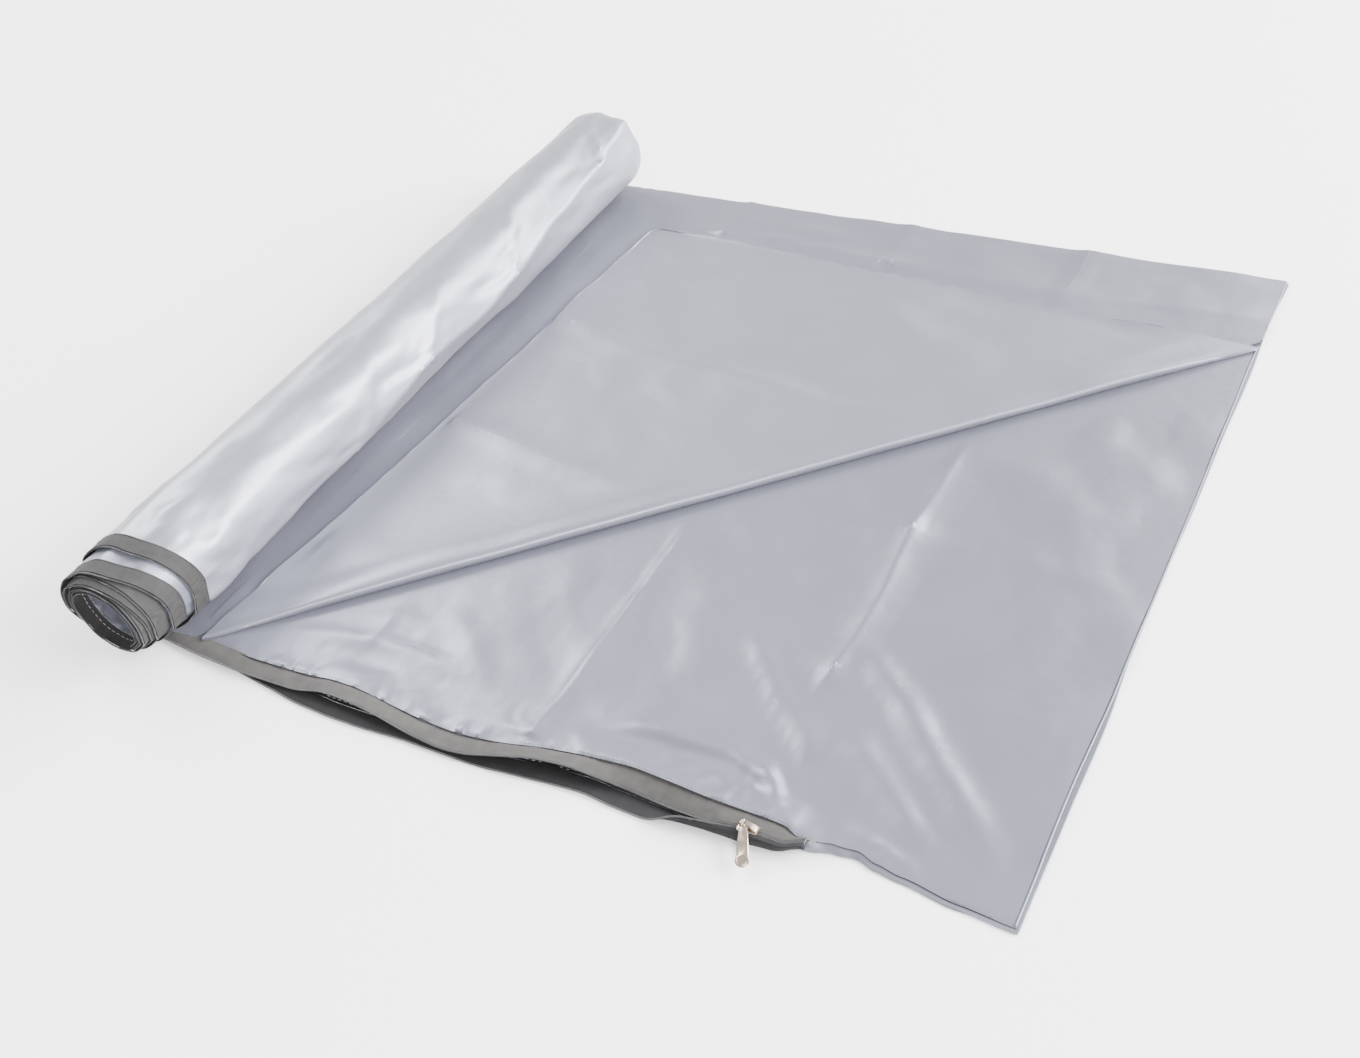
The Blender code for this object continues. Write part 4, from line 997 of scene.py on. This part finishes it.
def roll_softness(angle, y):
    """How far the outer turn stands out from a plain spiral; angle in degrees above +X."""
    centre = keyed(ROLL_CREASE, y)
    away = np.radians((angle - centre + 180) % 360 - 180) * ROLL_R
    out = 0.0034 * np.exp(-np.abs(away) / 0.0065) - 0.0010
    flatten = (-0.0022 * np.exp(-((away - 0.024) / 0.013) ** 2)
               - 0.0018 * np.exp(-((away + 0.019) / 0.012) ** 2))
    out = out + flatten * fade((y - 0.12) / 0.1)
    for place, height in ((0.516, 0.0024), (0.36, 0.0034), (0.72, 0.0020), (0.24, 0.0014)):
        dy, da = y - place, away
        out = out + pinch(dy, da, (0.0, 0.0), height, 0.020, 3, int(place * 1000))
        lean = da - 0.9 * dy
        out = out + 0.0020 * np.exp(-(lean / 0.006) ** 2) * fade(da / 0.01) * np.exp(-(da / 0.05) ** 2)
        lean = da + 0.5 * dy
        out = out - 0.0016 * np.exp(-(lean / 0.008) ** 2) * fade(da / 0.01) * np.exp(-(da / 0.06) ** 2)
    a = np.radians(angle)
    out = out + 0.0018 * noise(a * 1.1 + 5, y / 0.13, 111) + 0.0012 * noise(a * 2.3 + 3, y / 0.06, 112)
    out = out + 0.0005 * noise(a * 4.5 + y / 0.05, y / 0.028, 115)
    near_part = 1 - fade((y - 0.02) / 0.13)
    out = out + near_part * fade((y - 0.012) / 0.02) * (0.0018 * noise(a * 3.2 + y / 0.06, y / 0.030, 113)
                                                        + 0.0009 * noise(a * 6.5, y / 0.016, 114))
    ring = np.exp(-((y - 0.690) / 0.0016) ** 2) + np.exp(-((y - 0.716) / 0.0014) ** 2)
    out = out + 0.00035 * ring * fade((angle - 20) / 20)
    return out


def bulge(angle, y):
    """The rings at the near end are a little wider than the roll, which swells again behind them."""
    return (0.0014 * (1 - fade((y - 0.004) / 0.02)) + 0.0022 * np.exp(-((y - 0.050) / 0.030) ** 2)) \
        * fade((angle + 100) / 60)


def roll_points(t, y, layer, offset=0.0):
    """World points of the spiral after t turns from the floor line, at y in from the near edge line."""
    angle = -90 - 360 * t
    above = (angle + 90) % 360 - 90
    inner = np.maximum(t - 1, 0)
    loose = roll_softness(above, y) * fade(t / 0.12) * np.exp(-inner * (0.25 + 0.55 * fade(y / 0.05)))
    dents = bulge(above, y) * np.exp(-0.5 * inner)
    rounding = 0.0042 * fade((y - (WIDE - 0.022)) / 0.018) ** 2 * np.exp(-inner)
    radius = ROLL_R - TURN_PITCH * t - PITCH * layer + loose + offset + dents - rounding
    a = np.radians(angle)
    points = np.stack([ROLL_X + radius * np.cos(a), NEAR + y, ROLL_R + radius * np.sin(a)], -1)
    points[..., 2] = np.maximum(points[..., 2], 0.0005 + PITCH * layer)
    return points


def lower_coil_edge(t):
    """Outer edge of the lower tape's coil in the roll."""
    return keyed([(0.0, -0.0060), (0.25, -0.012), (0.5, -0.0055), (0.75, 0.0105), (0.92, 0.000),
                  (1.25, -0.028), (1.5, -0.036), (1.75, -0.032), (2.2, -0.040), (2.8, -0.0430),
                  (3.9, -0.0440)], t)


def upper_coil_edge(t):
    """Outer edge of the upper tape's coil in the roll."""
    return keyed([(0.0, -0.0085), (0.25, -0.043), (0.5, -0.034), (0.75, -0.0145), (1.0, -0.024),
                  (1.25, -0.0445), (1.5, -0.0440), (1.8, -0.036), (2.3, -0.0440), (3.9, -0.0445)], t)


def lower_satin_edge(t):
    """Where the satin ends at the lower tape in the roll."""
    return lower_coil_edge(t) + COIL + TAPE + 0.0002


def upper_satin_edge(t):
    """Where the satin ends at the upper tape in the roll."""
    return upper_coil_edge(t) + COIL + TAPE + 0.0002


def plain_edge(t):
    """The near edge of the panels that have no tape."""
    return -0.012 * fade(t) + 0.004 * np.sin(t * 5)


def shrink(t, y, layer):
    """The inner rings stand in a little from the outer one where they stick out at the near end."""
    inner = 1.0 if layer > 0 else fade((t - 0.93) / 0.14)
    return -0.0030 * (1 - fade((y + 0.004) / 0.03)) * inner


def roll_sheet(name, layer, first, last, step_t, edge, material, nodes, fine_y=0.0026, gather=1.0):
    """One panel of the roll between two numbers of turns, gathered where it meets its tape."""
    if first < WRAP_TURNS:
        shown, hidden = np.arange(first, WRAP_TURNS, 1 / 310), np.arange(WRAP_TURNS, last, step_t)
        ts = np.concatenate([shown, hidden, [last]])
    else:
        ts = np.arange(first, last + step_t, step_t)
    seam_side = 0.036                               # this wide a strip has its points close together
    inner = np.concatenate([np.arange(0, seam_side, 0.0016), np.arange(0.037, WIDE - 0.004, fine_y)])
    t, y0 = np.meshgrid(ts, inner, indexing="ij")
    start = edge(t)
    rest = (WIDE - 0.0030 - start - seam_side) * (y0 - seam_side) / (inner[-1] - seam_side)
    y = np.where(y0 < seam_side, start + y0, start + seam_side + rest)
    inside = y - start
    around = t * 2 * math.pi * ROLL_R
    ripple = noise(around / 0.0046 + noise(t * 6, y / 0.02, 6), y / 0.02, 121 + layer)
    broad = noise(around / 0.012, y / 0.03, 131 + layer)
    pucker = gather * (0.0015 * ripple * np.exp(-inside / 0.006) + 0.0018 * broad * np.exp(-inside / 0.020)) \
        * fade((inside - 0.0006) / 0.002)
    inset = -0.0030 * fade((inside - 0.022) / 0.03) * (name != "roll_wrap")
    points = roll_points(t, y, layer, offset=pucker + shrink(t, y, layer) + inset)
    sheet = cloth(name, points, 0.00045, 3, flip=True)
    dress(sheet, material, "satin_silver", *nodes)
    return sheet


def tape_ring(name, layer, coil_edge, tape_node, coil_node):
    """A zip tape wound into the roll, with its coil along the outer edge."""
    ts = np.arange(0.0, TURNS, 1 / 150)
    share = np.linspace(0, 1, 10)
    t, s = np.meshgrid(ts, share, indexing="ij")
    y = coil_edge(t) + COIL + 0.0003 + (TAPE + 0.0010) * s
    curl = -0.0016 * (1 - s) ** 2 * fade((t - 0.9) / 0.5) * (layer > 0)
    offset = 0.0004 + curl + shrink(t, y, layer) + 0.0003 * noise(t * 30, y / 0.01, 141 + layer)
    tape = cloth(name, roll_points(t, y, layer, offset=offset), 0.0005, 3, flip=True)
    # the wound tapes take the tape colour painted darker as the roll's shade
    dress(tape, TAPE_PAINTED_ROLL_SHADE, "tape_grey", tape_node)
    edge = coil_edge(ts)
    centre = roll_points(ts, edge + COIL / 2, layer, offset=0.0001 + curl[:, 0] + shrink(ts, edge, layer))
    a = np.radians(-90 - 360 * ts)
    face = np.stack([np.cos(a), 0 * a, np.sin(a)], -1)
    side = np.stack([0 * a, np.ones(len(a)), 0 * a], -1)
    ring = coil(name.replace("tape", "coil"), centre, side, face, steps=6, sides=4, tall=0.0015)
    # the roll's coils take the nylon colour painted with a dimmed highlight
    dress(ring, COIL_ROLL_PAINTED_HIGHLIGHT, "coil_dark", coil_node)
    cord = tube(name.replace("tape", "coil_cord"), centre, 0.0005, 5)
    dress(cord, COIL_DARK, "coil_dark")
    # the lower tape's needle line is seen on the outer turn only
    edge_t = ts[ts < 1.02] if layer == 0 else ts
    sewn = coil_edge(edge_t) + COIL + TAPE
    line = roll_points(edge_t, sewn + 0.0003, layer, offset=0.0008 + shrink(edge_t, sewn, layer))
    needle = tube(name.replace("tape", "needle_line"), line, 0.00040, 5)
    dress(needle, NEEDLE, "thread_grey")


def build_roll():
    """The rolled-up head end: four panels, two tapes, the far fold and what shows in the core."""
    # the outer turn takes the satin copy painted lighter for the light on the roll
    wrap = roll_sheet("roll_wrap", 0, 0.0, WRAP_TURNS, 1 / 162, lower_satin_edge, SATIN_PAINTED_LIT_ROLL,
                      ("outer_panel_floor_roll",))
    for name, layer, first, step_t, edge, nodes in (
            ("roll_outer_panel", 0, WRAP_TURNS, 1 / 90, lower_satin_edge, ()),
            ("roll_inner_panel", 1, 0.0, 1 / 110, upper_satin_edge, ("inner_panel_floor_roll",)),
            ("roll_inner_panel_top", 2, 0.0, 1 / 60, plain_edge, ("inner_panel_top_roll",)),
            ("roll_outer_panel_top", 3, 0.0, 1 / 60, plain_edge, ("outer_panel_top_roll",))):
        made = roll_sheet(name, layer, first, TURNS, step_t, edge, SATIN, nodes, fine_y=0.03, gather=0.8)
    tape_ring("roll_tape_lower", 0, lower_coil_edge, "zip_tape_lower_roll", "zip_coil_lower_roll")
    tape_ring("roll_tape_upper", 1, upper_coil_edge, "zip_tape_upper_roll", "zip_coil_upper_roll")
    # the far fold that closes each turn
    ts = np.arange(0, TURNS, 1 / 60)
    arc = np.linspace(-math.pi / 2, math.pi / 2, 10)
    t, a = np.meshgrid(ts, arc, indexing="ij")
    y = WIDE - 0.0042 + 0.0019 * np.cos(a) + 0.0006 * noise(t * 9, a * 0, 151)
    points = roll_points(t, y, 1.5, offset=-0.0019 * np.sin(a))
    folded = cloth("roll_far_fold", points, 0.0004, 3)
    dress(folded, SATIN, "satin_silver", "far_fold_roll")
    # the head end inside: seam, tape ends and their stops, loose thread and stitching
    ys = np.arange(-0.02, WIDE - 0.012, 0.012)
    path = roll_points(np.full(len(ys), TURNS + 0.006), ys, 1.0)
    seam = tube("head_seam", path, 0.0016, 8)
    dress(seam, SATIN, "satin_silver", "head_seam_floor", "head_seam_top")
    for name, layer, edge, node in (("top_stop_lower", 0, lower_coil_edge, "zip_top_stop_lower"),
                                    ("top_stop_upper", 1, upper_coil_edge, "zip_top_stop_upper")):
        y = float(edge(np.array(TURNS)))
        path = roll_points(np.full(5, TURNS + 0.004), np.linspace(y, y + COIL, 5), layer, offset=-0.001)
        dress(tube(name, path, 0.0009, 6), PLATED, "slider_metal", node)
    ts = np.arange(2.75, TURNS, 1 / 170)
    for name, place, size in (("core_stitches", 0.0120, 0.0028), ("core_overlock", 0.0170, 0.0022)):
        offset = -0.0042 + 0.0005 * noise(ts * 40, ts * 0, 161)
        path = roll_points(ts, upper_coil_edge(ts) + place, 1, offset=offset)
        dress(stitches(name, path, size, 0.0022), PALE_THREAD, "thread_grey")
    loose = [Vector((ROLL_X + x, NEAR + y, ROLL_R + z)) for x, y, z in (
        (-0.016, -0.034, 0.026), (-0.012, -0.030, 0.012), (-0.015, -0.026, -0.002), (-0.022, -0.020, -0.014))]
    path = [a.lerp(b, s) * (1 - s) + b.lerp(c, s) * s
            for a, b, c, places in ((*loose[:3], np.linspace(0, 1, 10)),
                                    (*loose[1:], np.linspace(0.1, 1, 10)))
            for s in places]
    dress(tube("loose_thread", path, 0.00022, 5), PALE_THREAD, "thread_grey")


# ---------------------------------------------------------------- the slider and its pull tab
def join_rings(bm, rings):
    """Faces between each ring of points and the next, as one list for each pair of rings."""
    found = []
    for first, second in zip(rings, rings[1:]):
        count = len(first)
        found.append([bm.faces.new((first[i], first[(i + 1) % count], second[(i + 1) % count], second[i]))
                      for i in range(count)])
    return found


def bevelled(name, outline, low, high, width):
    """A plate of the slider from a flat outline between two heights, with rounded edges."""
    bm = bmesh.new()
    bottom = [bm.verts.new((x, y, low)) for x, y in outline]
    top = [bm.verts.new((x, y, high)) for x, y in outline]
    faces = [bm.faces.new(bottom[::-1]), bm.faces.new(top)]
    join_rings(bm, [bottom, top])
    rims = [e for f in faces for e in f.edges]
    bmesh.ops.bevel(bm, geom=rims, offset=width, segments=2, profile=0.6, affect="EDGES")
    bmesh.ops.recalc_face_normals(bm, faces=bm.faces)
    return from_bmesh(name, bm, "slider")


def from_bmesh(name, bm, body):
    """A smooth-shaded piece on a body, from a bmesh that isn't needed afterwards."""
    mesh = bpy.data.meshes.new(name)
    bm.to_mesh(mesh)
    bm.free()
    mesh.shade_smooth()
    mesh.set_sharp_from_angle(angle=math.radians(40))
    made = bpy.data.objects.new(name, mesh)
    bpy.context.scene.collection.objects.link(made)
    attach(made, body)
    return made


def build_slider():
    """The slider's two plates and its divider, then its crown and its tab."""
    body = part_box("slider_body")
    middle = Vector(((body[0].x + body[1].x) / 2, (body[0].y + body[1].y) / 2, 0))
    half = (body[1].x - body[0].x) / 2
    widths = [(0.0, 0.0030), (0.06, 0.0043), (0.16, 0.0053), (0.28, 0.0055), (0.45, 0.0050), (0.75, 0.0042),
              (0.95, 0.0039), (1.0, 0.0034)]
    side = [(middle.x + (-half + 2 * half * share), width) for share, width in widths]
    outline = [(x, middle.y - w) for x, w in side] + [(x, middle.y + w) for x, w in side[::-1]]
    low, high = body[0].z, body[1].z
    slim = [(x, middle.y + (y - middle.y) * 0.84) for x, y in outline]
    thick, rounded = 0.0012, 0.00035
    dress(bevelled("slider_lower_plate", slim, low, low + thick, rounded), PLATED, "slider_metal",
          "slider_body")
    dress(bevelled("slider_upper_plate", outline, high - thick, high, rounded), PLATED, "slider_metal")
    wedge = [(middle.x - half + 0.0010, middle.y - 0.0005), (middle.x - half + 0.0050, middle.y - 0.0003),
             (middle.x - half + 0.0050, middle.y + 0.0003), (middle.x - half + 0.0010, middle.y + 0.0005)]
    dress(bevelled("slider_divider", wedge, low + 0.0010, high - 0.0010, 0.0001), PLATED, "slider_metal")
    build_crown(middle.y, high)
    build_tab()


def build_crown(middle_y, high):
    """The bar that arches over the upper plate, thin at the tab's eye, and the cheeks at its broad foot."""
    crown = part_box("slider_crown")
    hinge_x, bar_z = ZIP_JOINT["pos_m"][0], ZIP_JOINT["pos_m"][2]
    path = [(crown[0].x + 0.0006, high - 0.0004), (crown[0].x + 0.0006, 0.0124),
            (crown[0].x + 0.0009, 0.0142), (crown[0].x + 0.0022, bar_z - 0.0001),
            (hinge_x, bar_z), (hinge_x + 0.0022, bar_z),
            (hinge_x + 0.0048, bar_z - 0.0002), (hinge_x + 0.0066, bar_z - 0.0010),
            (crown[1].x - 0.0006, high + 0.0012), (crown[1].x - 0.0004, high - 0.0004)]
    wide = [0.0010, 0.0010, 0.0010, 0.0010, 0.0009, 0.0012, 0.0021, 0.0023, 0.0023, 0.0023]
    thick = 0.0006
    bm = bmesh.new()
    rings = []
    for i, ((x, z), w) in enumerate(zip(path, wide)):
        before, after = path[max(0, i - 1)], path[min(len(path) - 1, i + 1)]
        way = Vector((after[0] - before[0], after[1] - before[1])).normalized()
        out = Vector((-way.y, way.x))
        rings.append([bm.verts.new((x + out.x * thick * a, middle_y + w * b, z + out.y * thick * a))
                      for a, b in ((1, -1), (1, 1), (-1, 1), (-1, -1))])
    join_rings(bm, rings)
    bm.faces.new(rings[0])
    bm.faces.new(rings[-1])
    bmesh.ops.recalc_face_normals(bm, faces=bm.faces)
    sharp = [e for e in bm.edges if e.is_manifold and e.calc_face_angle(0) > 1.0]
    bmesh.ops.bevel(bm, geom=sharp, offset=0.00025, segments=2, affect="EDGES")
    dress(from_bmesh("slider_crown_arch", bm, "slider"), PLATED, "slider_metal", "slider_crown")
    cheek = bmesh.new()
    for sign in (-1, 1):
        made = bmesh.ops.create_cube(cheek, size=1)["verts"]
        for vert in made:
            vert.co = Vector((hinge_x + 0.0064 + vert.co.x * 0.0036,
                              middle_y + sign * 0.0021 + vert.co.y * 0.0008,
                              high + 0.0014 + vert.co.z * 0.0030))
    bmesh.ops.bevel(cheek, geom=cheek.edges[:], offset=0.00022, segments=2, affect="EDGES")
    dress(from_bmesh("slider_cheeks", cheek, "slider"), PLATED, "slider_metal")


def build_tab():
    """The flat pull tab as it hangs in the photo, with its pressed round mark, and its eye."""
    hinge = Vector(ZIP_JOINT["pos_m"])
    slope, skew = math.radians(16.5), math.radians(22)
    across = Vector((1, 0, 0))
    down = Vector((0, -math.cos(slope), -math.sin(slope)))
    along = down * math.cos(skew) + across * math.sin(skew)
    sideways = across * math.cos(skew) - down * math.sin(skew)
    face = along.cross(sideways).normalized()
    face = face if face.z > 0 else -face
    length, end_radius = 0.0330, 0.0052
    centre = length - end_radius
    edge = [(0.0030, 0.0021), (0.0050, 0.0027), (0.0080, 0.0034), (0.0160, 0.0041), (0.0240, 0.0046)]
    arc = [(centre + end_radius * math.sin(a), end_radius * math.cos(a))
           for a in (math.radians(-25 + 115 * i / 12) for i in range(12))]
    half_outline = edge + arc
    places = half_outline + [(length, 0.0)] + [(run, -w) for run, w in reversed(half_outline)]
    bm = bmesh.new()
    rings = []
    for inset, rise in ((0.00035, -0.0007), (0.0, -0.0004), (0.0, 0.0004), (0.00035, 0.0007)):
        ring = []
        for run, w in places:
            shrink_w = max(abs(w) - inset, 0) * (1 if w >= 0 else -1)
            reach = run - inset * (run - 0.015) / 0.018
            ring.append(bm.verts.new(hinge + along * reach + sideways * shrink_w + face * rise))
        rings.append(ring)
    join_rings(bm, rings)
    bm.faces.new(rings[0][::-1])
    # the top face is open round the pressed mark, which is a shallow dish with a raised rim
    spot = hinge + along * (centre + 0.0003)
    sides = 28
    dish = []
    for radius, rise in ((0.0043, 0.0007), (0.0041, 0.00085), (0.0038, 0.00078), (0.0036, 0.00045),
                         (0.0030, 0.00034), (0.0015, 0.00030)):
        dish.append([bm.verts.new(spot + (along * math.cos(a) + sideways * math.sin(a)) * radius
                                  + face * rise)
                     for a in (2 * math.pi * i / sides for i in range(sides))])
    count = len(places)
    outer_edges = [bm.edges.get((rings[-1][i], rings[-1][(i + 1) % count])) for i in range(count)]
    dish_edges = [bm.edges.new((dish[0][i], dish[0][(i + 1) % sides])) for i in range(sides)]
    bmesh.ops.triangle_fill(bm, use_beauty=True, use_dissolve=False, edges=outer_edges + dish_edges)
    bands = join_rings(bm, dish)
    for item in sum(bands[2:], []) + [bm.faces.new(dish[-1])]:
        item.material_index = 1
    bmesh.ops.recalc_face_normals(bm, faces=bm.faces)
    tab = from_bmesh("pull_tab_plate", bm, "puller")
    dress(tab, PLATED, "slider_metal", "pull_tab")
    tab.data.materials.append(PLATED_PALE)
    # the eye round the crown's bar
    bm = bmesh.new()
    sides, around = 28, 10
    rings = []
    for i in range(sides):
        a = 2 * math.pi * i / sides
        out = down * math.cos(a) + down.cross(across).normalized() * math.sin(a)
        rings.append([bm.verts.new(hinge + out * (0.0023 + 0.0006 * math.cos(b))
                                   + across * 0.0010 * math.sin(b))
                      for b in (2 * math.pi * k / around for k in range(around))])
    join_rings(bm, rings + rings[:1])
    bmesh.ops.recalc_face_normals(bm, faces=bm.faces)
    dress(from_bmesh("pull_tab_eye", bm, "puller"), PLATED, "slider_metal")


# ---------------------------------------------------------------- floor, light and camera
def build_studio():
    """A pale floor, a white surrounding and four large soft lights."""
    bm = bmesh.new()
    bmesh.ops.create_grid(bm, x_segments=2, y_segments=2, size=6)
    mesh = bpy.data.meshes.new("studio_floor")
    bm.to_mesh(mesh)
    bm.free()
    floor = bpy.data.objects.new("studio_floor", mesh)
    bpy.context.scene.collection.objects.link(floor)
    floor.data.materials.append(speckled("pale floor", (0.90, 0.90, 0.905), (0.92, 0.92, 0.925), 0.8, scale=3,
                                         bump_strength=0.0))
    world = bpy.data.worlds.new("studio")
    bpy.context.scene.world = world
    world.use_nodes = True
    world.node_tree.nodes["Background"].inputs["Color"].default_value = (1, 1, 1, 1)
    world.node_tree.nodes["Background"].inputs["Strength"].default_value = 1.36

    def area(name, place, size, power, aim=Vector((0, 0, 0))):
        light = bpy.data.lights.new(name, "AREA")
        light.shape = "RECTANGLE"
        light.size, light.size_y = size
        light.energy = power
        made = bpy.data.objects.new(name, light)
        made.location = place
        made.rotation_euler = (aim - Vector(place)).to_track_quat("-Z", "Y").to_euler()
        bpy.context.scene.collection.objects.link(made)

    area("back", (4.0, 6.4, 3.6), (9.0, 4.0), 2050)
    area("key", (-6.4, 2.6, 5.0), (4.0, 4.0), 1050)
    area("side", (5.6, 1.8, 2.6), (4.5, 3.0), 1700)
    area("front", (4.2, -4.6, 4.2), (2.2, 2.2), 620)


def build_camera():
    """The photograph's viewing angle, worked out from the cover's own corners and creases."""
    turn, rise, roll = math.radians(35.18), math.radians(40.92), math.radians(-10.31)
    back = Vector((math.sin(turn) * math.cos(rise), -math.cos(turn) * math.cos(rise), math.sin(rise)))
    right = Vector((0, 0, 1)).cross(back).normalized()
    up = back.cross(right)
    c, s = math.cos(roll), math.sin(roll)
    turned_right = right * c + up * s
    turned_up = up * c - right * s
    camera = bpy.data.cameras.new("camera")
    camera.sensor_width = 36
    camera.lens = 39.56
    camera.clip_start = 0.01
    made = bpy.data.objects.new("camera", camera)
    matrix = Matrix((turned_right, turned_up, back)).transposed().to_4x4()
    matrix.translation = Vector((FOOT + 0.17399, NEAR - 0.54057, 0.86368))
    made.matrix_world = matrix
    bpy.context.scene.collection.objects.link(made)
    bpy.context.scene.camera = made


build_camera()
build_studio()
build_floor_half()
build_mouth_lining()
build_near_half()
build_top_half()
build_flap_hem(build_flap())
build_hems()
build_zip()
build_zip_ends()
build_roll()
build_slider()

bpy.context.view_layer.update()
